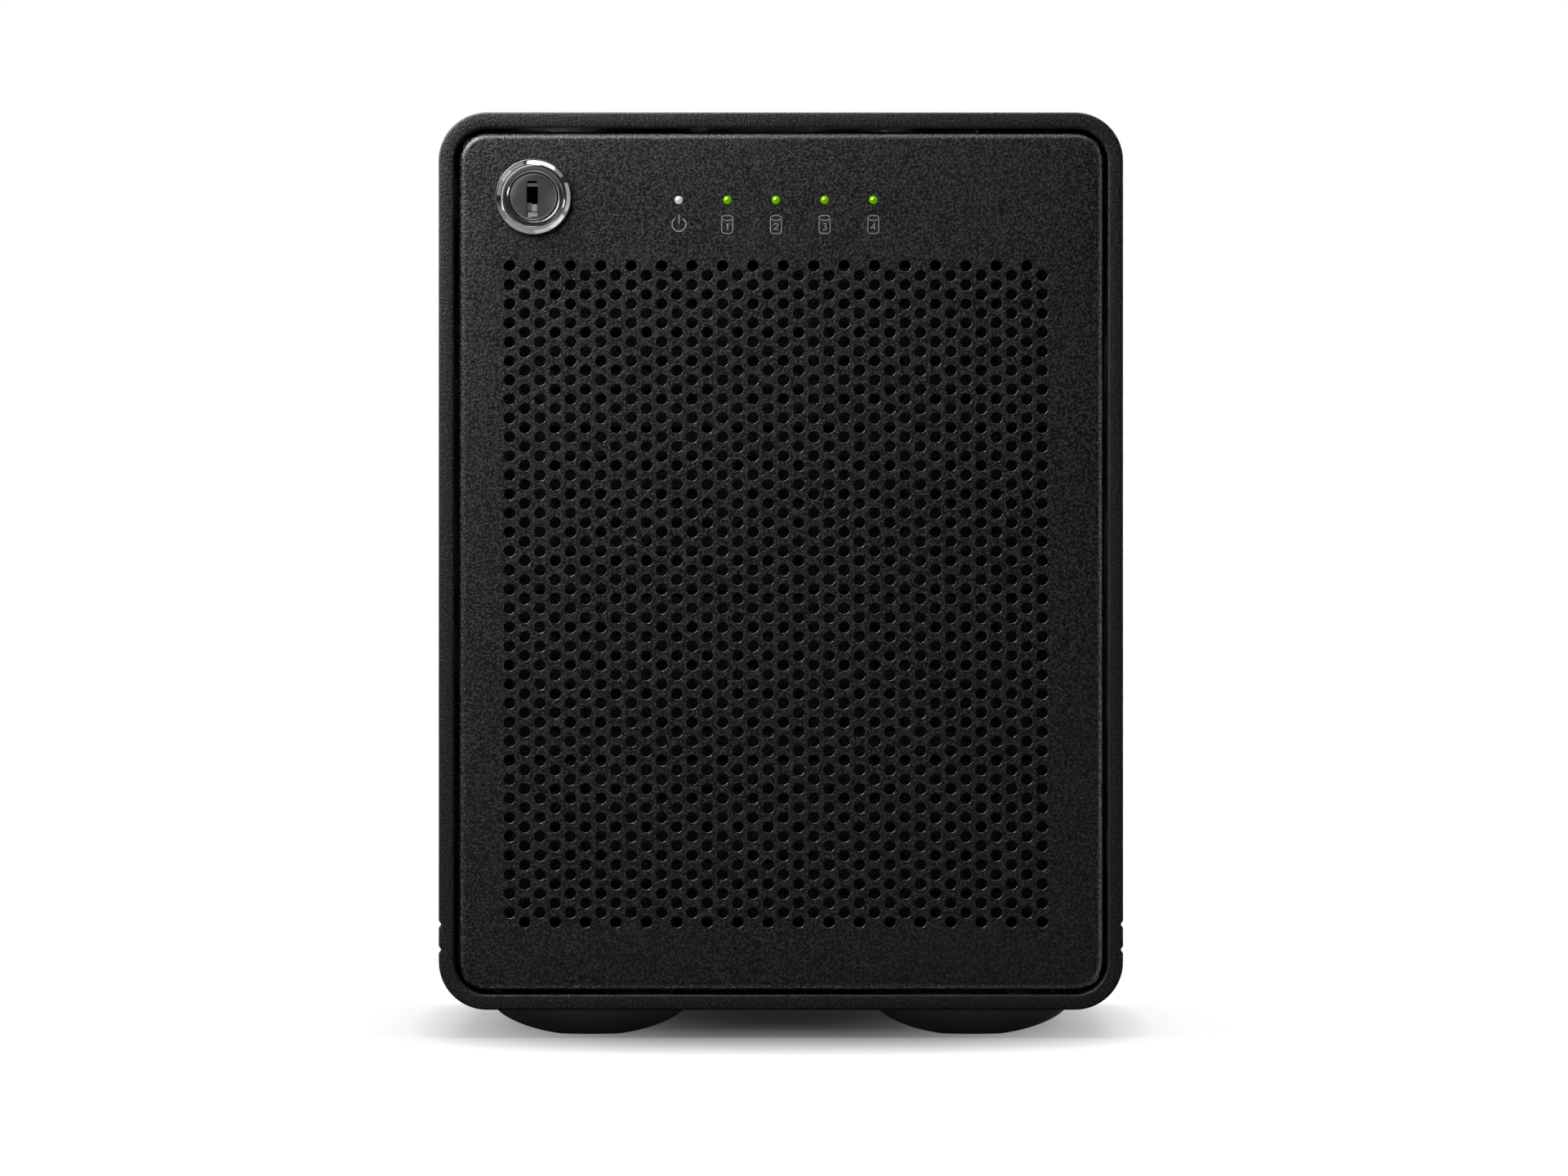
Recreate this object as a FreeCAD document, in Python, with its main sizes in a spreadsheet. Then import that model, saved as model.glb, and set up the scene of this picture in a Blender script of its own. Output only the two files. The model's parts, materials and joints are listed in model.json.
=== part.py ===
import FreeCAD, Part
import math
import os
import Sketcher
from types import SimpleNamespace

# A four-bay network storage enclosure: an extruded aluminium tube closed by a perforated,
# lockable lift-off door in front and a rear panel with fan, mains inlet and ports behind.
# Four drives lie flat, one over another, in trays that draw out to the front.
# +X is to the right seen from the front, +Y to the rear, +Z up. The origin is on the ground,
# under the middle of the enclosure. Millimetres.

DIMENSIONS = {
    # outer case
    "case_width": 135.0,
    "case_height": 177.0,
    "case_depth": 240.0,
    "case_wall": 3.0,
    "case_radius": 9.5,
    "rim_round": 0.35,
    "groove_depth": 0.45,
    "groove_width": 1.1,
    "groove_height": 11.9,
    "groove_spacing": 5.0,
    "port_inset": 7.2,
    "port_radius": 3.6,
    "sheet": 1.0,
    "panel_sheet": 1.2,
    "rear_recess": 0.8,
    # feet
    "foot_height": 5.5,
    "foot_radius": 18.5,
    "foot_flat": 6.5,
    "foot_x": 38.0,
    "foot_y": 88.0,
    # door
    "door_width": 126.6,
    "door_height": 168.5,
    "door_radius": 5.3,
    "door_depth": 8.0,
    "door_proud": 0.6,
    "door_skin": 1.6,
    "door_edge": 1.5,
    "hole_radius": 1.05,
    "column_pitch": 3.0,
    "row_pitch": 3.75,
    "hole_columns": 36.0,
    "hole_rows": 35.0,
    # indicator lights
    "led_pitch": 9.6,
    "led_height": 71.25,
    "led_radius": 0.7,
    # lock
    "lock_x": -48.8,
    "lock_height": 71.8,
    "lock_proud": 1.9,
    "lock_ring_radius": 7.5,
    "barrel_radius": 5.9,
    "plug_radius": 4.7,
    "keyway_width": 2.2,
    "keyway_height": 7.2,
    "cam_reach": 12.5,
    "cam_width": 10.0,
    # drive bays
    "bay_x": -1.0,
    "bay_drop": 6.4,
    "bay_pitch": 32.5,
    "bay_half_width": 54.4,
    "frame_depth": 12.5,
    "tray_face_height": 31.3,
    "tray_face_width": 124.0,
    "tray_half_width": 52.0,
    "tray_flange": 1.4,
    "drive_width": 101.6,
    "drive_length": 147.0,
    "drive_height": 26.1,
    "thumb_radius": 3.5,
    "thumb_x": 57.6,
    # rear compartment
    "board_sheet": 1.6,
    "fan_size": 92.0,
    "fan_depth": 25.0,
    "fan_height": 105.0,
    "fan_bore": 45.0,
    "fan_hole_spacing": 82.5,
    "vent_radius": 2.0,
    "vent_pitch": 5.2,
    "inlet_x": 41.0,
    "inlet_height": 24.0,
    "switch_height": 45.0,
    "rocker_tilt": 10.0,
    # fasteners and fits
    "screw_radius": 1.5,
    "screw_head": 2.75,
    "clearance": 0.05,
}

DOC = FreeCAD.newDocument("storage_enclosure")
SHEET = DOC.addObject("Spreadsheet::Sheet", "Dims")
Vector = FreeCAD.Vector
Rotation = FreeCAD.Rotation


# ---------------------------------------------------------------- sizes bound to the sheet


class Size:
    """A length with the sheet expression that gives it, so that arithmetic keeps both."""

    def __init__(self, value, text):
        self.value = value
        self.text = text

    def joined(self, sign, other, value):
        return Size(value, f"({self.text} {sign} {other.text})")

    def __add__(self, other):
        other = size(other)
        return self.joined("+", other, self.value + other.value)

    def __sub__(self, other):
        other = size(other)
        return self.joined("-", other, self.value - other.value)

    def __mul__(self, other):
        other = size(other)
        return self.joined("*", other, self.value * other.value)

    def __truediv__(self, other):
        other = size(other)
        return self.joined("/", other, self.value / other.value)

    def __radd__(self, other):
        return size(other) + self

    def __rsub__(self, other):
        return size(other) - self

    def __rmul__(self, other):
        return size(other) * self

    def __neg__(self):
        return Size(-self.value, f"(0 - {self.text})")


def size(number):
    return number if isinstance(number, Size) else Size(float(number), f"{float(number):.6g}")


def fill_sheet():
    """Writes every driving dimension to a cell with its name as alias."""
    for row, (name, value) in enumerate(DIMENSIONS.items(), start=1):
        SHEET.set(f"A{row}", name)
        SHEET.set(f"B{row}", str(value))
        SHEET.setAlias(f"B{row}", name)
    DOC.recompute()
    return SimpleNamespace(**{n: Size(v, f"Dims.{n}") for n, v in DIMENSIONS.items()})


d = fill_sheet()


def bind(obj, path, length):
    obj.setExpression(path, size(length).text)


# ---------------------------------------------------------------- Part primitives


def block(name, x, y, z):
    """A box between pairs of faces, such as x=(left, right)."""
    box = DOC.addObject("Part::Box", name)
    for side, (low, high) in zip(("Length", "Width", "Height"), (x, y, z)):
        bind(box, side, size(high) - low)
    for axis, (low, _) in zip("xyz", (x, y, z)):
        bind(box, f"Placement.Base.{axis}", low)
    return box


TURNS = {
    "x": Rotation(Vector(0, 1, 0), 90),
    "y": Rotation(Vector(1, 0, 0), -90),
    "z": Rotation(),
}


def rod(name, axis, at, span, radius):
    """A cylinder along an axis. at holds the other two coordinates, in X, Y, Z order."""
    cylinder = DOC.addObject("Part::Cylinder", name)
    cylinder.Placement = FreeCAD.Placement(Vector(), TURNS[axis])
    bind(cylinder, "Radius", radius)
    bind(cylinder, "Height", size(span[1]) - span[0])
    others = [letter for letter in "xyz" if letter != axis]
    for letter, value in zip(others, at):
        bind(cylinder, f"Placement.Base.{letter}", value)
    bind(cylinder, f"Placement.Base.{axis}", span[0])
    return cylinder


def ball(name, x, y, z, radius):
    sphere = DOC.addObject("Part::Sphere", name)
    bind(sphere, "Radius", radius)
    for axis, value in zip("xyz", (x, y, z)):
        bind(sphere, f"Placement.Base.{axis}", value)
    return sphere


def fuse(name, *pieces):
    joined = DOC.addObject("Part::MultiFuse", name)
    joined.Shapes = list(pieces)
    joined.Refine = True
    return joined


def cut(name, base, *tools):
    result = DOC.addObject("Part::Cut", name)
    result.Base = base
    result.Tool = tools[0] if len(tools) == 1 else fuse(f"{name}_tool", *tools)
    return result


def group(name, *pieces):
    """Separate solids of one kind, kept as one sub-part."""
    compound = DOC.addObject("Part::Compound", name)
    compound.Links = list(pieces)
    return compound


def mirrored(name, piece, axis, at):
    """A copy reflected in the plane square to an axis at a coordinate."""
    copy = DOC.addObject("Part::Mirroring", name)
    copy.Source = piece
    copy.Normal = Vector(*(1.0 if letter == axis else 0.0 for letter in "xyz"))
    bind(copy, f"Base.{axis}", at)
    return copy


def cable(name, radius, points):
    """A round lead along a smooth curve through points."""
    spots = [Vector(*(size(c).value for c in point)) for point in points]
    curve = Part.BSplineCurve()
    curve.interpolate(spots)
    start = curve.tangent(curve.FirstParameter)[0]
    ring = Part.Wire(Part.Circle(spots[0], start, radius).toShape())
    lead = DOC.addObject("Part::Feature", name)
    lead.Shape = Part.Wire(curve.toShape()).makePipeShell([ring], True, False)
    return lead


# ---------------------------------------------------------------- PartDesign

PLANES = {"x": "YZ_Plane", "y": "XZ_Plane", "z": "XY_Plane"}


def new_body(name):
    return DOC.addObject("PartDesign::Body", name)


class Sketch:
    """A sketch on a body's origin plane square to an axis, moved to a coordinate on that axis.

    Its own origin can be shifted in the plane. Every point is tied to the sketch's origin.
    """

    def __init__(self, body, axis, at, shift=(0, 0)):
        self.body = body
        self.axis = axis
        self.object = body.newObject("Sketcher::SketchObject", f"{body.Name}_sketch")
        plane = next(f for f in body.Origin.OriginFeatures if f.Role == PLANES[axis])
        self.object.AttachmentSupport = [(plane, "")]
        self.object.MapMode = "FlatFace"
        normal = -size(at) if axis == "y" else size(at)  # the XZ plane faces -Y
        bind(self.object, "AttachmentOffset.Base.z", normal)
        bind(self.object, "AttachmentOffset.Base.x", shift[0])
        bind(self.object, "AttachmentOffset.Base.y", shift[1])

    def constrain(self, *arguments):
        return self.object.addConstraint(Sketcher.Constraint(*arguments))

    def place(self, geometry, point, x, y):
        """Ties a point of a geometry to the sketch's origin by two dimensions."""
        for kind, length in (("DistanceX", size(x)), ("DistanceY", size(y))):
            index = self.constrain(kind, -1, 1, geometry, point, length.value)
            bind(self.object, f"Constraints[{index}]", length)

    def measure(self, kind, geometry, length):
        index = self.constrain(kind, geometry, size(length).value)
        bind(self.object, f"Constraints[{index}]", length)

    def circle(self, x, y, radius):
        centre = Vector(size(x).value, size(y).value, 0)
        g = self.object.addGeometry(Part.Circle(centre, Vector(0, 0, 1), size(radius).value))
        self.place(g, 3, x, y)
        self.measure("Radius", g, radius)
        return self

    def polygon(self, *points):
        """A closed outline of straight lines through points."""
        flat = [Vector(size(x).value, size(y).value, 0) for x, y in points]
        first = self.object.GeometryCount
        for a, b in zip(flat, flat[1:] + flat[:1]):
            self.object.addGeometry(Part.LineSegment(a, b))
        for i, (x, y) in enumerate(points):
            following = first + (i + 1) % len(points)
            self.constrain("Coincident", first + i, 2, following, 1)
            self.place(first + i, 1, x, y)
        return self

    def rectangle(self, x, y):
        return self.polygon((x[0], y[0]), (x[1], y[0]), (x[1], y[1]), (x[0], y[1]))

    def dome(self, start, middle, end, *corners):
        """A closed outline of one arc through three points, then straight lines through corners."""
        spots = [Vector(size(x).value, size(y).value, 0) for x, y in (start, middle, end)]
        turns_left = (spots[1] - spots[0]).cross(spots[2] - spots[1]).z > 0
        arc = self.object.addGeometry(Part.Arc(*(spots if turns_left else reversed(spots))))
        ends = (1, 2) if turns_left else (2, 1)
        outline = [end, *corners, start]
        first = self.object.GeometryCount
        for (ax, ay), (bx, by) in zip(outline, outline[1:]):
            a = Vector(size(ax).value, size(ay).value, 0)
            b = Vector(size(bx).value, size(by).value, 0)
            self.object.addGeometry(Part.LineSegment(a, b))
        last = self.object.GeometryCount - 1
        self.constrain("Coincident", arc, ends[1], first, 1)
        self.constrain("Coincident", last, 2, arc, ends[0])
        for i, (x, y) in enumerate(outline[:-1]):
            self.place(first + i, 1, x, y)
            if i:
                self.constrain("Coincident", first + i - 1, 2, first + i, 1)
        self.place(last, 2, *start)
        radius = self.object.Geometry[arc].Radius
        self.constrain("Radius", arc, radius)
        return self

    def rounded(self, x, y, radius):
        """A rectangle between x and y pairs with round corners."""
        radius = size(radius)
        centres = [
            (x[1] - radius, y[1] - radius),
            (x[0] + radius, y[1] - radius),
            (x[0] + radius, y[0] + radius),
            (x[1] - radius, y[0] + radius),
        ]
        first = self.object.GeometryCount
        arcs = []
        for quarter, (cx, cy) in enumerate(centres):
            circle = Part.Circle(Vector(cx.value, cy.value, 0), Vector(0, 0, 1), radius.value)
            start = quarter * math.pi / 2
            arcs.append(Part.ArcOfCircle(circle, start, start + math.pi / 2))
        for arc in arcs:
            self.object.addGeometry(arc)
        for arc, following in zip(arcs, arcs[1:] + arcs[:1]):
            self.object.addGeometry(Part.LineSegment(arc.EndPoint, following.StartPoint))
        for i, (cx, cy) in enumerate(centres):
            self.constrain("Tangent", first + i, 2, first + 4 + i, 1)
            self.constrain("Tangent", first + 4 + i, 2, first + (i + 1) % 4, 1)
            self.place(first + i, 3, cx, cy)
            self.measure("Radius", first + i, radius)
        return self


def pad(sketch, length):
    """Adds material from the sketch towards the positive end of its axis."""
    feature = sketch.body.newObject("PartDesign::Pad", "Pad")
    feature.Profile = sketch.object
    bind(feature, "Length", length)
    feature.Reversed = sketch.axis == "y"
    return feature


def pocket(sketch, length):
    """Removes material from the sketch towards the positive end of its axis."""
    feature = sketch.body.newObject("PartDesign::Pocket", "Pocket")
    feature.Profile = sketch.object
    bind(feature, "Length", length)
    feature.Reversed = sketch.axis != "y"
    return feature


def revolve(sketch, kind="PartDesign::Revolution"):
    """Turns the sketch about its own vertical axis."""
    feature = sketch.body.newObject(kind, "Revolution")
    feature.Profile = sketch.object
    feature.ReferenceAxis = (sketch.object, ["V_Axis"])
    feature.Angle = 360.0
    return feature


def round_edges(body, radius, test):
    """Fillets the edges of the body's last feature whose points all pass a test."""
    DOC.recompute()
    base = body.Tip
    names = []
    for i, edge in enumerate(base.Shape.Edges, start=1):
        points = [edge.valueAt(p) for p in edge.ParameterRange]
        points.append(edge.valueAt(sum(edge.ParameterRange) / 2))
        if all(test(p) for p in points):
            names.append(f"Edge{i}")
    feature = body.newObject("PartDesign::Fillet", "Fillet")
    feature.Base = (base, names)
    bind(feature, "Radius", radius)
    return feature


def line_pattern(feature, sketch, axis_name, spacing, count):
    """Repeats a feature along a sketch axis."""
    body = sketch.body
    pattern = body.newObject("PartDesign::LinearPattern", "LinearPattern")
    pattern.Originals = [feature]
    pattern.Direction = (sketch.object, [axis_name])
    bind(pattern, "Length", size(spacing) * (count - 1))
    pattern.Occurrences = count
    body.Tip = pattern
    return pattern


def ring_pattern(feature, sketch, axis_name, count):
    """Repeats a feature round a sketch axis."""
    body = sketch.body
    pattern = body.newObject("PartDesign::PolarPattern", "PolarPattern")
    pattern.Originals = [feature]
    pattern.Axis = (sketch.object, [axis_name])
    pattern.Angle = 360.0
    pattern.Occurrences = count
    body.Tip = pattern
    return pattern


def grid_pattern(feature, sketch, columns, rows):
    """Repeats a feature across and up. columns and rows are (spacing, count) pairs."""
    body = sketch.body
    grid = body.newObject("PartDesign::MultiTransform", "MultiTransform")
    grid.Originals = [feature]
    steps = []
    for axis_name, (spacing, count) in (("V_Axis", rows), ("H_Axis", columns)):
        step = body.newObject("PartDesign::LinearPattern", "LinearPattern")
        step.Direction = (sketch.object, [axis_name])
        bind(step, "Length", size(spacing) * (count - 1))
        step.Occurrences = count
        steps.append(step)
    grid.Transformations = steps
    body.Tip = grid
    return grid


# ---------------------------------------------------------------- places

half = d.case_width / 2
front = -(d.case_depth / 2)
rear = d.case_depth / 2
bottom = d.foot_height
top = d.foot_height + d.case_height
middle = d.foot_height + d.case_height / 2
inside = half - d.case_wall
inside_bottom = bottom + d.case_wall
inside_top = top - d.case_wall
port_x = half - d.port_inset
port_low = bottom + d.port_inset
port_high = top - d.port_inset

door_front = front - d.door_proud
skin_back = door_front + d.door_skin
door_back = door_front + d.door_depth
frame_front = front + d.frame_depth
frame_back = frame_front + d.panel_sheet
panel_back = rear - d.rear_recess
panel_front = panel_back - d.panel_sheet

led_z = middle + d.led_height
led_xs = [d.bay_x + d.led_pitch * i for i in (-2, -1, 0, 1, 2)]
lock_z = middle + d.lock_height
lock_nose = door_front - d.lock_proud

bay_z = middle - d.bay_drop
bay_centres = [bay_z + d.bay_pitch * step for step in (1.5, 0.5, -0.5, -1.5)]
bay_left = d.bay_x - d.bay_half_width
bay_right = d.bay_x + d.bay_half_width
bay_low = bay_z - d.bay_pitch * 2 - 2
bay_high = bay_z + d.bay_pitch * 2 + 2.4
bay_rear = frame_back + 156.3
drive_front = frame_front + 3.5
drive_rear = drive_front + d.drive_length
tray_front = frame_front - 0.3 - d.panel_sheet
tray_rear = drive_rear

backplane_y = bay_rear
shelf_z = bay_high + d.sheet
board_z = shelf_z + 3
fan_z = d.fan_height
fan_front = panel_front - d.fan_depth


def mirror_pair(name, piece, axis, at):
    """A piece and its reflection."""
    return [piece, mirrored(f"{name}_{axis}", piece, axis, at)]


def four_ways(name, piece, x_plane, other_axis, other_plane):
    """A piece repeated by two reflections, so that it stands in four corners."""
    pair = mirror_pair(name, piece, "x", x_plane)
    far = [mirrored(f"{name}_far{i}", p, other_axis, other_plane) for i, p in enumerate(pair)]
    return pair + far


# ---------------------------------------------------------------- case and feet


def outer_case():
    """Extruded tube with a screw port in each corner and two grooves along each side."""
    body = new_body("outer_case")
    tube = Sketch(body, "y", front)
    tube.rounded((-half, half), (bottom, top), d.case_radius)
    tube.rounded((-inside, inside), (inside_bottom, inside_top), d.case_radius - d.case_wall)
    pad(tube, d.case_depth)
    ends = (front.value, rear.value)
    round_edges(body, d.rim_round, lambda p: min(abs(p.y - end) for end in ends) < 1e-4)
    ports = Sketch(body, "y", frame_back)
    bores = Sketch(body, "y", frame_back)
    for x in (-port_x, port_x):
        for z in (port_low, port_high):
            ports.circle(x, z, d.port_radius)
            bores.circle(x, z, d.screw_radius + d.clearance)
    pad(ports, panel_front - frame_back)
    pocket(bores, panel_front - frame_back)
    grooves = Sketch(body, "y", front)
    outside = 0.5
    for side in (-1, 1):
        for z in (bottom + d.groove_height, bottom + d.groove_height + d.groove_spacing):
            edge = half * side
            mouth = d.groove_width / 2 + outside * d.groove_width / 2 / d.groove_depth
            grooves.polygon(
                (edge + side * outside, z - mouth),
                (edge + side * outside, z + mouth),
                (edge - side * d.groove_depth, z),
            )
    pocket(grooves, d.case_depth)
    foot_holes = Sketch(body, "z", bottom)
    for x in (-d.foot_x, d.foot_x):
        for y in (-d.foot_y, d.foot_y):
            foot_holes.circle(x, y, d.screw_radius + d.clearance)
    pocket(foot_holes, d.case_wall)
    return body


FOOT_WELL = 3.2  # radius of the well that hides a foot's screw head


def rubber_feet():
    """Wide domed rubber feet with a flat tread and a well for the fixing screw."""
    body = new_body("rubber_foot")
    seam = bottom - 0.4
    profile = Sketch(body, "y", d.foot_y, shift=(d.foot_x, 0))
    profile.dome(
        (d.foot_radius, seam),
        (d.foot_radius * 0.73, 1.55),
        (d.foot_flat, 0),
        (FOOT_WELL, 0),
        (FOOT_WELL, 2.6),
        (d.screw_radius + 0.2, 2.6),
        (d.screw_radius + 0.2, bottom),
        (d.foot_radius, bottom),
    )
    revolve(profile)
    return group("rubber_feet", *four_ways("foot", body, 0, "y", 0))


def foot_screws():
    """Screws up through the feet, threaded into the case floor."""
    place = (d.foot_x, d.foot_y)
    head = rod("foot_screw_head", "z", place, (0.8, 2.6), d.screw_head)
    shank = rod("foot_screw_shank", "z", place, (2.6, inside_bottom - 0.2), d.screw_radius)
    socket = rod("foot_screw_socket", "z", place, (0, 1.9), 1.2)
    screw = cut("foot_screw", fuse("foot_screw_solid", head, shank), socket)
    return group("foot_screws", *four_ways("foot_screw", screw, 0, "y", 0))


def hexagon(corner):
    """Corners of a hexagon about the sketch's origin."""
    angles = [math.radians(60 * i) for i in range(6)]
    return [(corner * math.cos(a), corner * math.sin(a)) for a in angles]


# ---------------------------------------------------------------- door and lock


def front_door_panel():
    """Shallow pan with a staggered grille, five light holes and a lock hole."""
    body = new_body("front_door_panel")
    x = (-(d.door_width / 2), d.door_width / 2)
    z = (middle - d.door_height / 2, middle + d.door_height / 2)
    outline = Sketch(body, "y", door_front)
    outline.rounded(x, z, d.door_radius)
    pad(outline, d.door_depth)
    round_edges(body, d.door_edge, lambda p: abs(p.y - door_front.value) < 1e-4)
    hollow = Sketch(body, "y", skin_back)
    wall = d.door_skin
    hollow.rounded((x[0] + wall, x[1] - wall), (z[0] + wall, z[1] - wall), d.door_radius - wall)
    pocket(hollow, d.door_depth - d.door_skin)
    columns = int(DIMENSIONS["hole_columns"])
    rows = int(DIMENSIONS["hole_rows"])
    left = d.bay_x - d.column_pitch * columns / 2
    low = bay_z - d.row_pitch * (rows + 1) / 2
    width, height = d.column_pitch * columns, d.row_pitch * (rows + 1)
    openings = Sketch(body, "y", door_front)
    openings.circle(d.lock_x, lock_z, d.barrel_radius + 0.1)
    for led_x in led_xs:
        openings.circle(led_x, led_z, d.led_radius + 0.1)
    openings.rectangle((left, left + width), (low, low + height))
    pocket(openings, d.door_skin)
    strip = Sketch(body, "y", door_front)
    strip.rectangle((left, left + d.column_pitch * 2), (low, low + height))
    for row in range(rows):
        x = left + d.column_pitch / 2
        strip.circle(x, low + d.row_pitch * (row + 1.25), d.hole_radius)
        strip.circle(x + d.column_pitch, low + d.row_pitch * (row + 0.75), d.hole_radius)
    feature = pad(strip, d.door_skin)
    feature.Refine = False
    grille = line_pattern(feature, strip, "H_Axis", d.column_pitch * 2, columns // 2)
    grille.Refine = False
    return body


def snap_points():
    """Where the door's studs plug into the front frame: two low corners and one high one."""
    low = middle - d.door_height / 2 + 7
    return [(-50, low), (50, low), (52, middle + 72)]


def door_snap_studs():
    """Ball studs on the back of the door's skin."""
    studs = []
    for i, (x, z) in enumerate(snap_points()):
        base = rod(f"stud_base{i}", "y", (x, z), (skin_back, skin_back + 1.5), 4)
        shaft = rod(f"stud_shaft{i}", "y", (x, z), (skin_back + 1, frame_back + 1), 1.6)
        knob = ball(f"stud_ball{i}", x, frame_back + 1.4, z, 2.4)
        studs.append(fuse(f"snap_stud{i}", base, shaft, knob))
    return group("door_snap_studs", *studs)


def door_catch_grommets():
    """Rubber grommets in the front frame that grip the door's studs."""
    grommets = []
    for i, (x, z) in enumerate(snap_points()):
        body = new_body(f"grommet{i}")
        profile = Sketch(body, "z", z, shift=(x, 0))
        bore, groove, lip = 2.5, 3.5, 4.6
        profile.polygon(
            (bore, frame_front - 1),
            (lip, frame_front - 1),
            (lip, frame_front),
            (groove, frame_front),
            (groove, frame_back),
            (lip, frame_back),
            (lip, frame_back + 1.4),
            (bore, frame_back + 1.4),
        )
        revolve(profile)
        grommets.append(body)
    return group("door_catch_grommets", *grommets)


def lock_sketch(body):
    return Sketch(body, "z", lock_z, shift=(d.lock_x, 0))


def lock_barrel():
    """Lock body: a bevelled, dished ring outside the door and a round barrel behind it."""
    body = new_body("lock_barrel")
    bore = d.plug_radius + d.clearance
    profile = lock_sketch(body)
    profile.polygon(
        (bore, lock_nose + 0.85),
        (bore + 0.3, lock_nose + 0.85),
        (d.barrel_radius, lock_nose + 0.1),
        (d.barrel_radius + 0.15, lock_nose),
        (d.barrel_radius + 0.35, lock_nose + 0.05),
        (d.lock_ring_radius, lock_nose + 1.2),
        (d.lock_ring_radius, door_front),
        (d.barrel_radius, door_front),
        (d.barrel_radius, frame_back + 1.8),
        (bore, frame_back + 1.8),
    )
    revolve(profile)
    return body


def lock_nut():
    """Thin hexagon nut that clamps the lock to the door's skin."""
    body = new_body("lock_nut")
    outline = Sketch(body, "y", skin_back, shift=(d.lock_x, lock_z))
    outline.polygon(*hexagon(9.0))
    outline.circle(0, 0, d.barrel_radius + d.clearance)
    pad(outline, 2.5)
    return body


def lock_plug():
    """Turning core with the keyway in front and a square tail for the cam."""
    body = new_body("lock_plug")
    profile = lock_sketch(body)
    face = lock_nose + 0.8
    tail = frame_back + 2
    profile.polygon(
        (0, face),
        (d.plug_radius - 0.25, face),
        (d.plug_radius, face + 0.25),
        (d.plug_radius, tail),
        (0, tail),
    )
    revolve(profile)
    square = Sketch(body, "y", tail, shift=(d.lock_x, lock_z))
    square.rectangle((-2.2, 2.2), (-2.2, 2.2))
    pad(square, 2)
    keyway = Sketch(body, "y", face - 0.1, shift=(d.lock_x, lock_z))
    low = -(d.keyway_height / 2) - 0.6
    x = (-(d.keyway_width / 2), d.keyway_width / 2)
    keyway.rounded(x, (low, low + d.keyway_height), 0.3)
    pocket(keyway, 9)
    thread = Sketch(body, "y", tail - 4, shift=(d.lock_x, lock_z))
    thread.circle(0, 0, d.screw_radius + d.clearance)
    pocket(thread, 6)
    return body


def lock_cam():
    """Flat cam that turns up behind the front frame to lock the door."""
    body = new_body("lock_cam")
    outline = Sketch(body, "y", frame_back + 2, shift=(d.lock_x, lock_z))
    outline.rounded((size(-5), d.cam_reach), (-(d.cam_width / 2), d.cam_width / 2), 2.5)
    outline.rectangle((-2.25, 2.25), (-2.25, 2.25))
    pad(outline, 2)
    return body


def lock_cam_screw():
    place = (d.lock_x, lock_z)
    seat = frame_back + 4
    head = rod("cam_screw_head", "y", place, (seat, seat + 2), 3.6)
    shank = rod("cam_screw_shank", "y", place, (seat - 5.5, seat), d.screw_radius)
    return fuse("lock_cam_screw", head, shank)


# ---------------------------------------------------------------- front frame and lights


def front_frame():
    """Steel frame across the mouth of the case, which carries the bay cage and the lights."""
    body = new_body("front_frame")
    gap = 0.5
    plate = Sketch(body, "y", frame_front)
    plate.rounded((-inside + gap, inside - gap), (inside_bottom + gap, inside_top - gap), 6)
    plate.rounded((bay_left + 0.4, bay_right - 0.4), (bay_low + 1.2, bay_high - 1.2), 2)
    pad(plate, d.panel_sheet)
    holes = Sketch(body, "y", frame_front)
    for x in (-port_x, port_x):
        for z in (port_low, port_high):
            holes.circle(x, z, d.screw_radius + 0.2)
    for x, z in snap_points():
        holes.circle(x, z, 3.5)
    for z in bay_centres:
        holes.circle(d.thumb_x, z, d.screw_radius + 0.1)
    for x in (led_xs[0] - 4, led_xs[4] + 4):
        holes.circle(x, led_z - 4, 1.2)
    holes.rounded((d.bay_x - 6.5, d.bay_x + 6.5), (led_z + 6, led_z + 8.6), 0.8)
    pocket(holes, d.panel_sheet)
    aperture = Sketch(body, "y", frame_front, shift=(d.lock_x, lock_z))
    aperture.rounded((size(-6.8), d.cam_reach + 0.8), (size(-6.8), size(6.8)), 5)
    pocket(aperture, d.panel_sheet)
    return body


def led_board():
    """Narrow board on the face of the frame that lights the five pipes."""
    x = (led_xs[0] - 7, led_xs[4] + 7)
    y = (frame_front - d.board_sheet, frame_front)
    board = block("led_board_plate", x, y, (led_z - 6, led_z + 4))
    holes = [
        rod(f"led_board_hole{i}", "y", (hole_x, led_z - 4), (frame_front - 3, frame_front + 1), 1.2)
        for i, hole_x in enumerate((led_xs[0] - 4, led_xs[4] + 4))
    ]
    return cut("led_board", board, *holes)


def light_pipe(name, x):
    """A clear rod from the board to a domed tip in its hole in the door."""
    back = frame_front - d.board_sheet
    foot = rod(f"{name}_foot", "y", (x, led_z), (back - 2.5, back), 1.8)
    stem = rod(f"{name}_stem", "y", (x, led_z), (door_front + 0.5, back - 2), d.led_radius)
    tip = ball(f"{name}_tip", x, door_front + 0.5, led_z, d.led_radius)
    return fuse(name, foot, stem, tip)


def power_light_pipe():
    return light_pipe("power_light_pipe", led_xs[0])


def drive_light_pipes():
    pipes = [light_pipe(f"drive_light_pipe{i}", x) for i, x in enumerate(led_xs[1:])]
    return group("drive_light_pipes", *pipes)


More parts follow.
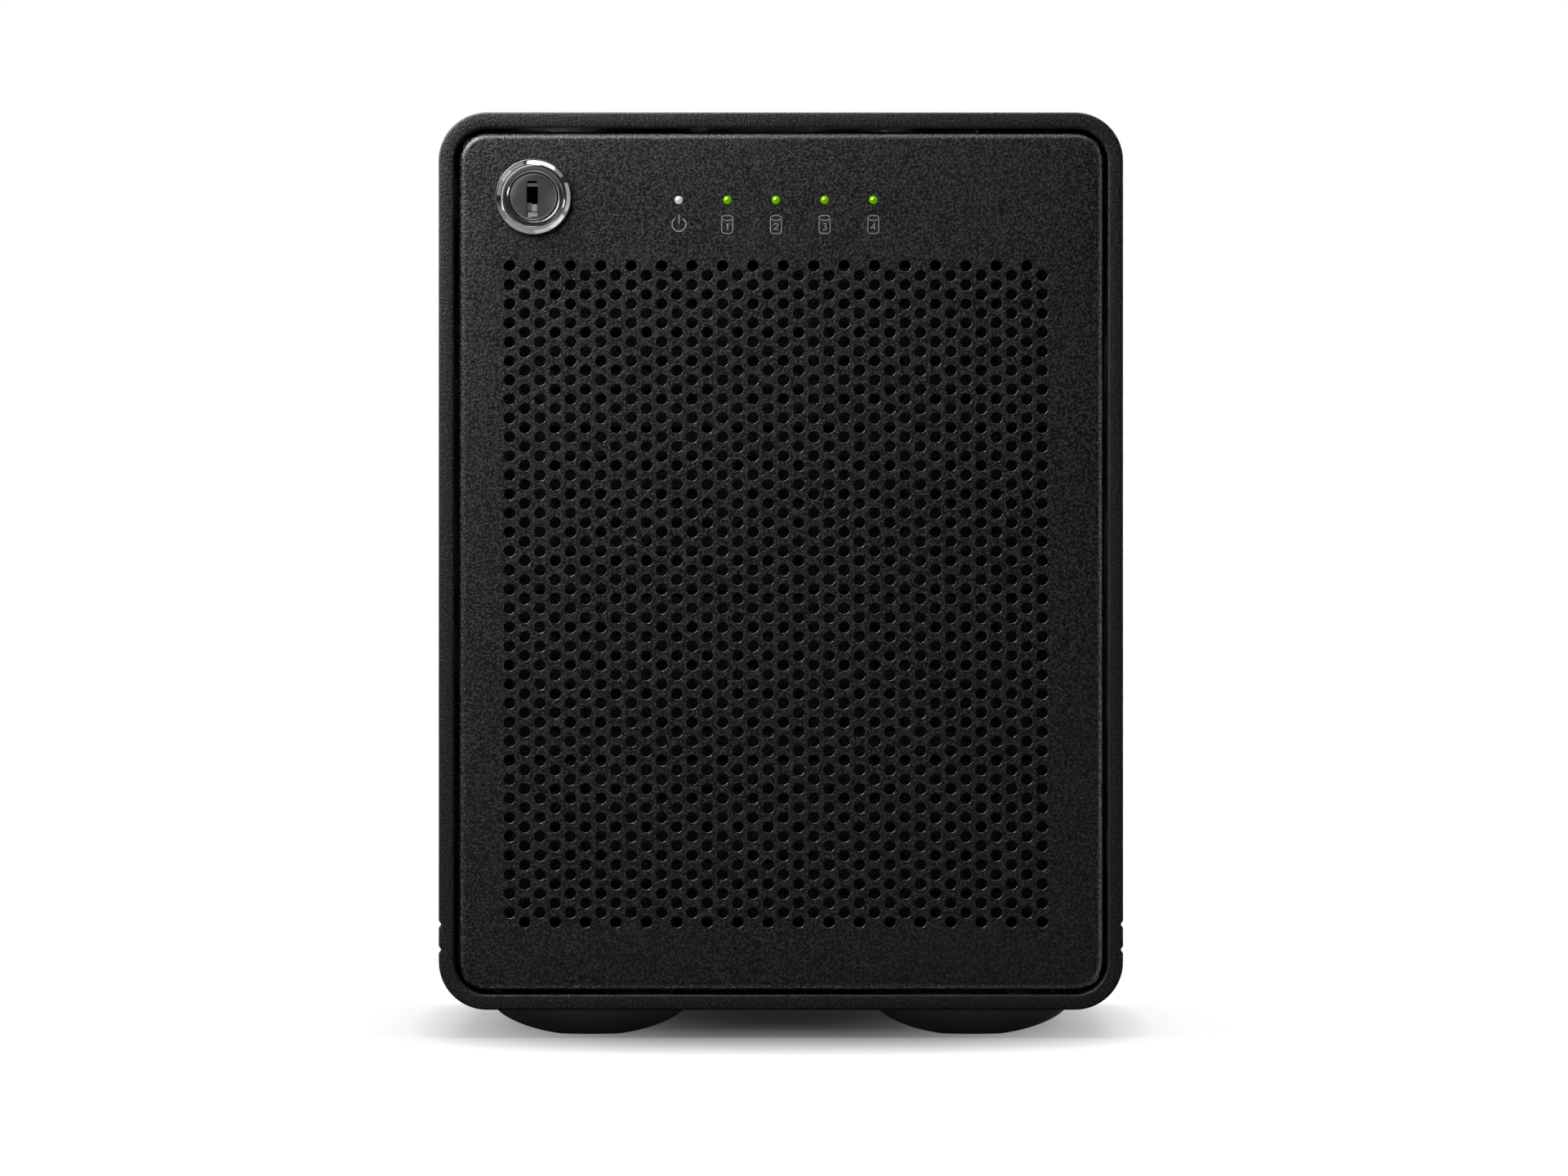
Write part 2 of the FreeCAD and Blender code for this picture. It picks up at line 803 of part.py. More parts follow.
def led_cable():
    """Flat ribbon from the light board back to the main board, over the shelf."""
    x = (d.bay_x - 5, d.bay_x + 5)
    z = led_z + 7
    front_drop = block("ribbon_front", x, (frame_front - 1.6, frame_front - 1), (led_z + 4, z + 0.6))
    run = block("ribbon_run", x, (frame_front - 1.6, board_front + 6), (z, z + 0.6))
    rear_drop = block("ribbon_rear", x, (board_front + 5.4, board_front + 6), (board_top, z + 0.6))
    return fuse("led_cable", front_drop, run, rear_drop)


# ---------------------------------------------------------------- bay cage


def bay_wall(name, side):
    """Folded side wall of the cage, with a front flange and rows of air slots."""
    body = new_body(name)
    inner = d.bay_x + side * d.bay_half_width
    outer = inner + side * d.sheet
    edge = outer + side * 5.5
    section = Sketch(body, "z", bay_low)
    section.polygon(
        (inner, frame_back),
        (edge, frame_back),
        (edge, frame_back + d.sheet),
        (outer, frame_back + d.sheet),
        (outer, bay_rear),
        (inner, bay_rear),
    )
    pad(section, bay_high - bay_low)
    slot = Sketch(body, "x", inner - 3)
    slot.rounded((frame_back + 14, frame_back + 34), (bay_low + 8, bay_low + 12), 1.9)
    slots = pocket(slot, 6)
    grid_pattern(slots, slot, (27, 5), (d.bay_pitch, 4))
    if side > 0:
        holes = Sketch(body, "y", frame_back)
        for z in bay_centres:
            holes.circle(d.thumb_x, z, d.screw_radius + 0.1)
        pocket(holes, d.sheet)
    return body


def left_bay_wall():
    return bay_wall("left_bay_wall", -1)


def right_bay_wall():
    return bay_wall("right_bay_wall", 1)


def bay_base():
    """Channel under the cage that stands on the case floor."""
    body = new_body("bay_base")
    left, right = bay_left - d.sheet, bay_right + d.sheet
    section = Sketch(body, "y", frame_back + 2)
    section.polygon(
        (left, inside_bottom),
        (left + d.sheet, inside_bottom),
        (left + d.sheet, bay_low - d.sheet),
        (right - d.sheet, bay_low - d.sheet),
        (right - d.sheet, inside_bottom),
        (right, inside_bottom),
        (right, bay_low),
        (left, bay_low),
    )
    pad(section, bay_rear - frame_back - 2)
    return body


def board_shelf():
    """Shelf over the cage that runs to the rear panel and carries the main board."""
    body = new_body("board_shelf")
    left, right = bay_left - d.sheet, bay_right + d.sheet
    section = Sketch(body, "y", frame_back)
    section.polygon(
        (left, bay_high),
        (right, bay_high),
        (right, bay_high + 4),
        (right - d.sheet, bay_high + 4),
        (right - d.sheet, shelf_z),
        (left + d.sheet, shelf_z),
        (left + d.sheet, bay_high + 4),
        (left, bay_high + 4),
    )
    pad(section, panel_front - 1 - frame_back)
    return body


def tray_guides():
    """Eight plastic rails with a groove for the trays' edges."""
    rails = []
    for i, centre in enumerate(bay_centres):
        body = new_body(f"guide{i}")
        outer = bay_right
        web = bay_right - 0.6
        lip = bay_right - 2.1
        section = Sketch(body, "y", frame_back + 4)
        section.polygon(
            (outer, centre - 6),
            (outer, centre + 1),
            (lip, centre + 1),
            (lip, centre - 1.7),
            (web, centre - 1.7),
            (web, centre - 3.5),
            (lip, centre - 3.5),
            (lip, centre - 6),
        )
        pad(section, 140)
        rails += mirror_pair(f"guide{i}", body, "x", d.bay_x)
    return group("tray_guides", *rails)


# ---------------------------------------------------------------- trays and drives


def drive_tray(name, centre):
    """Folded sled whose side edges run in the guides, with a slotted front plate."""
    body = new_body(name)
    left, right = d.bay_x - d.tray_half_width, d.bay_x + d.tray_half_width
    floor_low, floor_high = centre - 14.2, centre - 13.2
    rim_low, rim_high = centre - 3.2, centre - 2.2
    section = Sketch(body, "y", tray_front + d.panel_sheet)
    section.polygon(
        (left, floor_low),
        (right, floor_low),
        (right, rim_low),
        (right + d.tray_flange, rim_low),
        (right + d.tray_flange, rim_high),
        (right - d.sheet, rim_high),
        (right - d.sheet, floor_high),
        (left + d.sheet, floor_high),
        (left + d.sheet, rim_high),
        (left - d.tray_flange, rim_high),
        (left - d.tray_flange, rim_low),
        (left, rim_low),
    )
    pad(section, tray_rear - tray_front - d.panel_sheet)
    face = Sketch(body, "y", tray_front)
    half_face = d.tray_face_width / 2
    z = (centre - d.tray_face_height / 2, centre + d.tray_face_height / 2)
    face.rounded((-half_face, half_face), z, 1.5)
    pad(face, d.panel_sheet)
    tab = Sketch(body, "y", tray_front - 5)
    tab.rounded((size(-60), size(-52)), (centre - 6, centre + 6), 1.2)
    tab.rounded((size(-58.8), size(-53.2)), (centre - 4.8, centre + 4.8), 0.6)
    pad(tab, 5)
    holes = Sketch(body, "y", tray_front)
    holes.circle(d.thumb_x, centre, d.screw_radius + 0.1)
    pocket(holes, d.panel_sheet)
    vent = Sketch(body, "y", tray_front)
    vent.rounded((size(-46), size(-31)), (centre - 11, centre - 8), 1.4)
    vents = pocket(vent, d.panel_sheet)
    grid_pattern(vents, vent, (18.5, 5), (6.3, 4))
    belly = Sketch(body, "z", floor_low)
    belly.rounded((d.bay_x - 36, d.bay_x + 36), (drive_front + 14, drive_rear - 14), 6)
    for x, y in drive_hole_places():
        belly.circle(x, y, 1.9)
    pocket(belly, d.sheet)
    return body


def drive_hole_places():
    """Fixing holes in the underside of a 3.5 inch drive, from its connector end."""
    across = 95.25 / 2
    return [
        (d.bay_x + side * across, drive_rear - back) for side in (-1, 1) for back in (41.28, 85.73)
    ]


def hard_drive(name, centre):
    """A 3.5 inch drive: cast base with a raised lid and a notch for its connector."""
    body = new_body(name)
    x = (d.bay_x - d.drive_width / 2, d.bay_x + d.drive_width / 2)
    low = centre - 13.2
    lid = 0.8
    base = Sketch(body, "z", low)
    base.rounded(x, (drive_front, drive_rear), 3)
    pad(base, d.drive_height - lid)
    cover = Sketch(body, "z", low + d.drive_height - lid)
    cover.rounded((x[0] + 2.5, x[1] - 2.5), (drive_front + 2.5, drive_rear - 8), 8)
    pad(cover, lid)
    well = Sketch(body, "z", low)
    well.rounded((x[0] + 12, x[1] - 12), (drive_front + 20, drive_rear - 20), 4)
    pocket(well, 4)
    notch = Sketch(body, "y", drive_rear - 6)
    notch.rectangle((d.bay_x - 20, d.bay_x + 20), (low - 1, low + 7))
    pocket(notch, 7)
    holes = Sketch(body, "z", low)
    for hole_x, hole_y in drive_hole_places():
        holes.circle(hole_x, hole_y, 1.8)
    pocket(holes, 5)
    return body


def drive_screws(name, centre):
    """Four screws up through the tray's floor into the drive."""
    screws = []
    for i, (x, y) in enumerate(drive_hole_places()):
        seat = centre - 14.2
        head = rod(f"{name}_head{i}", "z", (x, y), (seat - 1.2, seat), 3)
        shank = rod(f"{name}_shank{i}", "z", (x, y), (seat, seat + 4.5), 1.7)
        screws.append(fuse(f"{name}_{i}", head, shank))
    return group(name, *screws)


def thumbscrew(name, centre):
    """Fluted captive screw that holds a tray to the front frame."""
    body = new_body(name)
    nose = tray_front - 7
    profile = Sketch(body, "z", centre, shift=(d.thumb_x, 0))
    profile.polygon(
        (0, nose),
        (d.thumb_radius - 0.5, nose),
        (d.thumb_radius, nose + 0.5),
        (d.thumb_radius, nose + 4.8),
        (d.thumb_radius - 0.5, nose + 5.3),
        (2.2, nose + 5.3),
        (2.2, tray_front),
        (d.screw_radius, tray_front),
        (d.screw_radius, frame_back + 2.4),
        (0, frame_back + 2.4),
    )
    revolve(profile)
    flute = Sketch(body, "y", nose - 0.1, shift=(d.thumb_x, centre))
    flute.circle(d.thumb_radius + 0.25, 0, 0.5)
    ring_pattern(pocket(flute, 5.6), flute, "N_Axis", 18)
    slot = Sketch(body, "y", nose - 0.1, shift=(d.thumb_x, centre))
    slot.rectangle((-0.5, 0.5), (-2.6, 2.6))
    pocket(slot, 1.4)
    return body


# ---------------------------------------------------------------- boards

board_front = drive_rear - 62
board_top = board_z + d.board_sheet
BOARD_HALF = 50
STANDOFF_X = 45


def backplane_board():
    """Upright board behind the drives, with air windows between its sockets."""
    x = (bay_left - 1, bay_right + 1)
    sheet = (backplane_y, backplane_y + d.board_sheet)
    plate = block("backplane_plate", x, sheet, (bay_low, bay_high))
    y = (backplane_y - 1, backplane_y + 3)
    windows = []
    for i, centre in enumerate(bay_centres):
        for j, (left, right) in enumerate(((-50, -24), (22, 48))):
            windows.append(block(f"air_window{i}{j}", (left, right), y, (centre - 12, centre + 10)))
        windows.append(block(f"air_slot{i}", (-20, 18), y, (centre - 2, centre + 10)))
    return cut("backplane_board", plate, *windows)


def sata_sockets():
    """Four sockets on the backplane that reach into the drives' notches."""
    sockets = []
    for i, centre in enumerate(bay_centres):
        low = centre - 11.7
        x = (d.bay_x - 18.5, d.bay_x + 18.5)
        shell = block(f"sata_shell{i}", x, (drive_rear - 4.5, backplane_y), (low, low + 4.6))
        y = (drive_rear - 5, drive_rear)
        data = block(f"sata_data{i}", (d.bay_x - 17, d.bay_x - 6.5), y, (low + 1.5, low + 3.1))
        power = block(f"sata_power{i}", (d.bay_x - 4, d.bay_x + 17), y, (low + 1.5, low + 3.1))
        sockets.append(cut(f"sata_socket{i}", shell, data, power))
    return group("sata_sockets", *sockets)


def main_board():
    """Network and storage controller board, flat on standoffs over the shelf."""
    x = (d.bay_x - BOARD_HALF, d.bay_x + BOARD_HALF)
    plate = block("main_board_plate", x, (board_front, panel_front - 1.5), (board_z, board_top))
    holes = [
        rod(f"board_hole{i}", "z", place, (board_z - 1, board_top + 1), 1.7)
        for i, place in enumerate(standoff_places())
    ]
    return cut("main_board", plate, *holes)


def standoff_places():
    return [
        (d.bay_x + side * STANDOFF_X, y)
        for side in (-1, 1)
        for y in (board_front + 5, panel_front - 30)
    ]


def threaded_inserts():
    """Press-in inserts: standoffs on the shelf and thumbscrew nuts behind the right flange."""
    inserts = []
    for i, place in enumerate(standoff_places()):
        pillar = rod(f"pillar{i}", "z", place, (shelf_z, board_z), 2.8)
        bore_z = (shelf_z + 0.4, board_z + 1)
        bore = rod(f"pillar_bore{i}", "z", place, bore_z, d.screw_radius + d.clearance)
        inserts.append(cut(f"standoff{i}", pillar, bore))
    seat = frame_back + d.sheet
    for i, z in enumerate(bay_centres):
        place = (d.thumb_x, z)
        blank = rod(f"clinch_blank{i}", "y", place, (seat, seat + 2), 2.8)
        bore = rod(f"clinch_bore{i}", "y", place, (seat - 1, seat + 3), d.screw_radius + 0.1)
        inserts.append(cut(f"clinch_nut{i}", blank, bore))
    return group("threaded_inserts", *inserts)


def chassis_screws():
    """Pan-head screws of one size: four in the front frame's corners, four in the main board."""
    screws = []
    for i, x in enumerate((-port_x, port_x)):
        for j, z in enumerate((port_low, port_high)):
            head = rod(f"frame_head{i}{j}", "y", (x, z), (frame_front - 1.8, frame_front), d.screw_head)
            shank = rod(f"frame_shank{i}{j}", "y", (x, z), (frame_front, frame_front + 9), d.screw_radius)
            screws.append(fuse(f"frame_screw{i}{j}", head, shank))
    for i, place in enumerate(standoff_places()):
        head = rod(f"board_head{i}", "z", place, (board_top, board_top + 1.8), d.screw_head)
        shank = rod(f"board_shank{i}", "z", place, (shelf_z + 0.6, board_top), d.screw_radius)
        screws.append(fuse(f"board_screw{i}", head, shank))
    return group("chassis_screws", *screws)


def cpu_heatsink():
    """Finned aluminium heatsink over the processor."""
    body = new_body("cpu_heatsink")
    x0, y0 = d.bay_x - 20, board_front + 30
    foot = Sketch(body, "z", board_top + 1.2)
    foot.rectangle((x0, x0 + 40), (y0, y0 + 40))
    pad(foot, 2.5)
    fin = Sketch(body, "z", board_top + 3.7)
    fin.rectangle((x0, x0 + 1), (y0, y0 + 40))
    line_pattern(pad(fin, 9), fin, "H_Axis", 3, 14)
    return body


def soldered_parts():
    """Processor, network and storage chips, and the memory socket."""
    z = (board_top, board_top + 1.2)
    x, y = d.bay_x, board_front
    processor = block("processor", (x - 12, x + 12), (y + 38, y + 62), z)
    network = block("network_chip", (x + 14, x + 24), (y + 82, y + 92), z)
    storage = block("storage_chip", (x - 24, x - 12), (y + 80, y + 92), z)
    shell = block("memory_shell", (x - 38.4, x - 32.4), (y + 11, y + 84), (board_top, board_top + 6))
    slot_z = (board_top + 2.8, board_top + 7)
    slot = block("memory_slot", (x - 36.1, x - 34.7), (y + 13.8, y + 81.2), slot_z)
    relief_z = (board_top + 5.2, board_top + 7)
    relief = block("memory_relief", (x - 35.9, x - 33.4), (y + 15, y + 80), relief_z)
    socket = cut("memory_socket", shell, slot, relief)
    return group("soldered_parts", processor, network, storage, socket)


def memory_module():
    """Upright memory stick to the left of the processor."""
    x, y = d.bay_x, board_front
    stick_z = (board_top + 3, board_top + 16)
    stick = block("memory_stick", (x - 36, x - 34.8), (y + 14, y + 81), stick_z)
    chip_z = (board_top + 6, board_top + 14)
    chips = []
    for i in range(4):
        chip_y = (y + 17 + 16 * i, y + 28 + 16 * i)
        chips.append(block(f"memory_chip{i}", (x - 35, x - 33.9), chip_y, chip_z))
    return fuse("memory_module", stick, *chips)


PORT_OUT = 0.4  # how far a port's shell stands out of the rear panel
ETHERNET_XS = (14.0, 32.0)
USB_X = -9.0


def ethernet_jacks():
    """Two network sockets, each a shell with an open mouth and a latch notch."""
    jacks = []
    y = (panel_back + PORT_OUT - 21, panel_back + PORT_OUT)
    mouth_y = (y[1] - 14, y[1] + 1)
    for i, x in enumerate(ETHERNET_XS):
        shell = block(f"jack_shell{i}", (x - 8, x + 8), y, (board_top, board_top + 13.4))
        mouth = block(f"jack_mouth{i}", (x - 5.9, x + 5.9), mouth_y, (board_top + 3.4, board_top + 11.6))
        latch = block(f"jack_latch{i}", (x - 3, x + 3), mouth_y, (board_top + 1.4, board_top + 4))
        jacks.append(cut(f"ethernet_jack{i}", shell, mouth, latch))
    return group("ethernet_jacks", *jacks)


def usb_sockets():
    """One housing with two stacked sockets, each with its tongue."""
    y = (panel_back + PORT_OUT - 17.5, panel_back + PORT_OUT)
    shell = block("usb_shell", (USB_X - 7.2, USB_X + 7.2), y, (board_top, board_top + 15.6))
    tools = []
    for i, low in enumerate((1.2, 8.8)):
        mouth_z = (board_top + low, board_top + low + 5.4)
        mouth = block(f"usb_mouth{i}", (USB_X - 6.3, USB_X + 6.3), (y[1] - 12, y[1] + 1), mouth_z)
        tongue_z = (board_top + low + 2.6, board_top + low + 4.6)
        tongue = block(f"usb_tongue{i}", (USB_X - 5.6, USB_X + 5.6), (y[1] - 12.5, y[1] - 1.2), tongue_z)
        tools.append(cut(f"usb_opening{i}", mouth, tongue))
    return cut("usb_sockets", shell, *tools)


# ---------------------------------------------------------------- rear panel, fan and power

INLET_HALF = (13.6, 10.0)
SWITCH_HALF = (9.6, 6.45)
rocker_y = panel_back - 4.74


def rear_panel():
    """Rear plate with the fan grille, the ports' openings and a security slot."""
    body = new_body("rear_panel")
    gap = 0.4
    plate = Sketch(body, "y", panel_front)
    plate.rounded((-inside + gap, inside - gap), (inside_bottom + gap, inside_top - gap), 6)
    pad(plate, d.panel_sheet)
    openings = Sketch(body, "y", panel_front)
    for x in ETHERNET_XS:
        openings.rectangle((x - 8.3, x + 8.3), (board_top - 0.3, board_top + 13.7))
    openings.rectangle((USB_X - 7.5, USB_X + 7.5), (board_top - 0.3, board_top + 15.9))
    for z, (wide, tall) in ((d.inlet_height, INLET_HALF), (d.switch_height, SWITCH_HALF)):
        openings.rectangle((d.inlet_x - wide, d.inlet_x + wide), (z - tall, z + tall))
    openings.rounded((size(-50), size(-43)), (board_top + 2, board_top + 5), 1.4)
    openings.circle(0, fan_z, d.vent_radius)
    pocket(openings, d.panel_sheet)
    holes = Sketch(body, "y", panel_front)
    for x in (-port_x, port_x):
        for z in (port_low, port_high):
            holes.circle(x, z, d.screw_radius + 0.2)
    offset = d.fan_hole_spacing / 2
    for x in (-offset, offset):
        for z in (fan_z - offset, fan_z + offset):
            holes.circle(x, z, 2.3)
    pocket(holes, d.panel_sheet)
    vent = Sketch(body, "y", panel_front, shift=(0, fan_z))
    for column in range(1, 9):
        for row in range(9):
            x, z = column + row / 2, row * math.sqrt(3) / 2
            if math.hypot(x, z) * DIMENSIONS["vent_pitch"] < DIMENSIONS["fan_bore"] - 3:
                vent.circle(d.vent_pitch * x, d.vent_pitch * z, d.vent_radius)
    ring_pattern(pocket(vent, d.panel_sheet), vent, "N_Axis", 6)
    side_vent = Sketch(body, "y", panel_front)
    side_vent.rounded((size(-52), size(-49.5)), (size(16), size(50)), 1.2)
    slots = pocket(side_vent, d.panel_sheet)
    line_pattern(slots, side_vent, "H_Axis", 6, 13)
    return body


def fan_frame():
    """Square fan housing with a round duct, four struts and the bearing tube."""
    body = new_body("fan_frame")
    half_size = d.fan_size / 2
    offset = d.fan_hole_spacing / 2
    outline = Sketch(body, "y", fan_front)
    outline.rounded((-half_size, half_size), (fan_z - half_size, fan_z + half_size), 4)
    outline.circle(0, fan_z, d.fan_bore)
    for x in (-offset, offset):
        for z in (fan_z - offset, fan_z + offset):
            outline.circle(x, z, 2.15)
    pad(outline, d.fan_depth)
    hub = Sketch(body, "y", panel_front - 3, shift=(0, fan_z))
    hub.circle(0, 0, 19)
    pad(hub, 3)
    strut = Sketch(body, "y", panel_front - 3, shift=(0, fan_z))
    strut.rectangle((-1.5, 1.5), (size(17), d.fan_bore + 0.5))
    ring_pattern(pad(strut, 3), strut, "N_Axis", 4)
    tube = Sketch(body, "y", fan_front + 6, shift=(0, fan_z))
    tube.circle(0, 0, 4)
    tube.circle(0, 0, FAN_SHAFT + d.clearance)
    pad(tube, d.fan_depth - 9)
    return body


FAN_SHAFT = 1.5
BLADES = 7
BLADE_TIP = 43.4


def blade_section(body, x, chord, pitch, lead):
    """Thin section of a blade at a distance from the axis, pitched to the plane of rotation."""
    section = Sketch(body, "x", x, shift=(fan_front + 11.5, fan_z))
    along = (math.sin(math.radians(pitch)), math.cos(math.radians(pitch)))
    across = (along[1], -along[0])
    corners = ((-0.5, -0.6), (0.5, -0.35), (0.5, 0.35), (-0.5, 0.6))
    points = [
        (along[0] * chord * a + across[0] * b, along[1] * chord * a + across[1] * b + lead)
        for a, b in corners
    ]
    section.polygon(*points)
    return section


def fan_rotor():
    """Seven pitched blades on a cup hub with its shaft."""
    body = new_body("fan_rotor")
    profile = Sketch(body, "z", fan_z)
    face = fan_front + 1.5
    back = panel_front - 3.6
    profile.polygon(
        (0, face),
        (17.3, face),
        (18.5, face + 1.2),
        (18.5, back),
        (16.8, back),
        (16.8, face + 2),
        (FAN_SHAFT, face + 2),
        (FAN_SHAFT, back),
        (0, back),
    )
    revolve(profile)
    loft = body.newObject("PartDesign::AdditiveLoft", "Blade")
    loft.Profile = blade_section(body, 17.6, 20, 48, 0).object
    loft.Sections = [blade_section(body, 46, 31, 30, 3).object]
    loft.Ruled = True
    axis = Sketch(body, "y", fan_front, shift=(0, fan_z))
    axis.circle(0, 0, BLADE_TIP)
    axis.circle(0, 0, BLADE_TIP + 12)
    ring_pattern(loft, axis, "N_Axis", BLADES)
    pocket(axis, d.fan_depth)
    return body


def cross_head_screw(name, x, z, head_radius, shank_radius):
    """A pan-head screw seen from behind, through the rear panel."""
    arm = head_radius * 0.55
    head = rod(f"{name}_head", "y", (x, z), (panel_back, panel_back + 2), head_radius)
    shank = rod(f"{name}_shank", "y", (x, z), (panel_back - 9.5, panel_back), shank_radius)
    y = (panel_back + 0.9, panel_back + 2.5)
    across = block(f"{name}_cross_x", (x - arm, x + arm), y, (z - 0.45, z + 0.45))
    upright = block(f"{name}_cross_z", (x - 0.45, x + 0.45), y, (z - arm, z + arm))
    return cut(name, fuse(f"{name}_solid", head, shank), across, upright)


def rear_screws():
    """Four screws into the case's corner ports and four into the fan's corners."""
    panel = cross_head_screw("panel_screw", port_x, port_low, d.screw_head, d.screw_radius)
    offset = d.fan_hole_spacing / 2
    fan = cross_head_screw("fan_screw", offset, fan_z + offset, size(3.8), size(2.05))
    corners = four_ways("panel_screw", panel, 0, "z", middle)
    return group("rear_screws", *corners, *four_ways("fan_screw", fan, 0, "z", fan_z))


def mains_inlet():
    """Three-pin mains inlet: flange outside the panel and a deep shroud inside it."""
    body = new_body("mains_inlet")
    wide, tall = INLET_HALF
    shift = (d.inlet_x, d.inlet_height)
    shell = Sketch(body, "y", panel_front - 20, shift=shift)
    shell.rectangle((0.15 - wide, wide - 0.15), (0.15 - tall, tall - 0.15))
    pad(shell, 20 + d.panel_sheet)
    flange = Sketch(body, "y", panel_back, shift=shift)
    flange.rounded((size(-15.2), size(15.2)), (size(-11.5), size(11.5)), 1.5)
    pad(flange, 2)
    mouth = Sketch(body, "y", panel_back - 15, shift=shift)
    mouth.polygon((-12, -8.2), (12, -8.2), (12, 3.4), (7.2, 8.2), (-7.2, 8.2), (-12, 3.4))
    pocket(mouth, 17.5)
    return body


def inlet_pins():
    """Line, neutral and earth blades, which run out behind the inlet as tags."""
    pins = []
    blade_y = (panel_back - 15, panel_back - 1.5)
    tag_y = (panel_front - 26, panel_front - 20)
    for i, (x, z) in enumerate(((-7, -1.5), (7, -1.5), (0, 2.5))):
        x, z = d.inlet_x + x, d.inlet_height + z
        pins.append(block(f"pin_blade{i}", (x - 1, x + 1), blade_y, (z - 2, z + 2)))
        pins.append(block(f"pin_tag{i}", (x - 0.4, x + 0.4), tag_y, (z - 2.2, z + 2.2)))
    return group("inlet_pins", *pins)


def switch_housing():
    """Snap-in switch body with a flange and a well for the rocker."""
    body = new_body("switch_housing")
    wide, tall = SWITCH_HALF
    shift = (d.inlet_x, d.switch_height)
    shell = Sketch(body, "y", panel_front - 14, shift=shift)
    shell.rectangle((0.1 - wide, wide - 0.1), (0.1 - tall, tall - 0.1))
    pad(shell, 14 + d.panel_sheet)
    flange = Sketch(body, "y", panel_back, shift=shift)
    flange.rounded((size(-10.7), size(10.7)), (size(-7.5), size(7.5)), 1)
    pad(flange, 1.5)
    well = Sketch(body, "y", panel_front - 11, shift=shift)
    well.rectangle((-8.4, 8.4), (-5.2, 5.2))
    pocket(well, 16)
    pivot = Sketch(body, "z", d.switch_height - 6.2, shift=(d.inlet_x, rocker_y))
    pivot.circle(0, 0, 1.05)
    pocket(pivot, 12.4)
    return body


def switch_rocker():
    """Rocker with a shallow V face, pressed in at its ON end."""
    body = new_body("switch_rocker")
    outline = Sketch(body, "z", d.switch_height - 4.9, shift=(d.inlet_x, rocker_y))
    side = [(7.0, 0), (7.2, 4), (6.6, 7)]
    left = [(-x, y) for x, y in reversed(side)]
    outline.polygon(*left, (-4, -4), (4, -4), *side, (0, 5.4))
    pad(outline, 9.8)
    pins = Sketch(body, "z", d.switch_height - 5.9, shift=(d.inlet_x, rocker_y))
    pins.circle(0, 0, 1)
    pad(pins, 11.8)
    turn = Rotation(Vector(0, 0, 1), -DIMENSIONS["rocker_tilt"])
    pivot = Vector(d.inlet_x.value, rocker_y.value, d.switch_height.value)
    body.Placement = FreeCAD.Placement(pivot - turn.multVec(pivot), turn)
    return body


def power_supply_case():
    """Vented steel box low behind the drives, which turns mains into 12 V and 5 V."""
    body = new_body("power_supply_case")
    x = (size(-56), size(24))
    y = (backplane_y + 8, panel_front - 4)
    z = (inside_bottom + 0.2, size(56))
    outline = Sketch(body, "z", z[0])
    outline.rounded(x, y, 1.5)
    pad(outline, z[1] - z[0])
    hollow = Sketch(body, "z", z[0] + d.sheet)
    hollow.rounded((x[0] + 1, x[1] - 1), (y[0] + 1, y[1] - 1), 0.8)
    pocket(hollow, z[1] - z[0] - 2 * d.sheet)
    vent = Sketch(body, "y", y[0] - 1)
    vent.rounded((x[0] + 8, x[0] + 10.5), (z[0] + 8, z[1] - 8), 1.2)
    vents = pocket(vent, y[1] - y[0] + 2)
    line_pattern(vents, vent, "H_Axis", 6, 11)
    return body


def power_supply_board():
    """Converter board inside the power supply with its transformer and capacitors."""
    z0 = inside_bottom + 6
    y = (backplane_y + 11, panel_front - 7)
    plate = block("supply_plate", (-54, 21), y, (z0, z0 + d.board_sheet))
    top_z = z0 + d.board_sheet
    transformer = block("transformer", (-20, 4), (y[0] + 12, y[0] + 36), (top_z, top_z + 22))
    coil = block("choke", (-48, -34), (y[0] + 6, y[0] + 20), (top_z, top_z + 16))
    places = ((-42, y[1] - 14, 9, 30), (12, y[0] + 14, 5, 20), (12, y[0] + 28, 5, 20))
    cans = [
        rod(f"capacitor{i}", "z", (x, at), (top_z, top_z + tall), radius)
        for i, (x, at, radius, tall) in enumerate(places)
    ]
    corners = [(x, at) for x in (-50.5, 17) for at in (y[0] + 4, y[1] - 4)]
    pillars = [
        rod(f"supply_pillar{i}", "z", place, (inside_bottom + 1.2, z0), 2.5)
        for i, place in enumerate(corners)
    ]
    return fuse("power_supply_board", plate, transformer, coil, *cans, *pillars)


# ---------------------------------------------------------------- leads


def fan_cable():
    """Fan lead from the frame's corner up past the shelf's edge to the main board."""
    x, y, z = d.fan_size / 2, fan_front - 3, fan_z + d.fan_size / 2
    points = [
        (x - 4, fan_front - 1.1, z - 10),
        (x - 1, y - 1, z - 4),
        (x + 11.4, y - 2, z),
        (x + 11.6, y - 4, board_top + 8),
        (x + 4.4, y - 6, board_top + 10),
        (x - 2, y - 7, board_top + 4),
        (x - 2, y - 7, board_top + 1),
    ]
    return cable("fan_cable", 1.0, points)


def mains_lead():
    """Sleeved lead from the inlet's tags across to the power supply."""
    x, y, z = d.inlet_x, panel_front - 27.2, d.inlet_height - 1.5
    points = [(x - 7, y, z), (x - 9, y - 8, z + 2), (x - 14, y - 14, z + 4), (25, y - 14, z + 4)]
    return cable("mains_lead", 2.2, points)


def drive_power_harness():
    """Leads from the power supply up to the backplane."""
    y = backplane_y + d.board_sheet
    leads = []
    for i in range(4):
        x = -6 - 3.2 * i
        points = [(x, y + 12, 57.2), (x, y + 11, 61), (x, y + 7, 65), (x, y + 1.2, 67)]
        leads.append(cable(f"power_lead{i}", 1.2, points))
    return group("drive_power_harness", *leads)


# ---------------------------------------------------------------- build and export

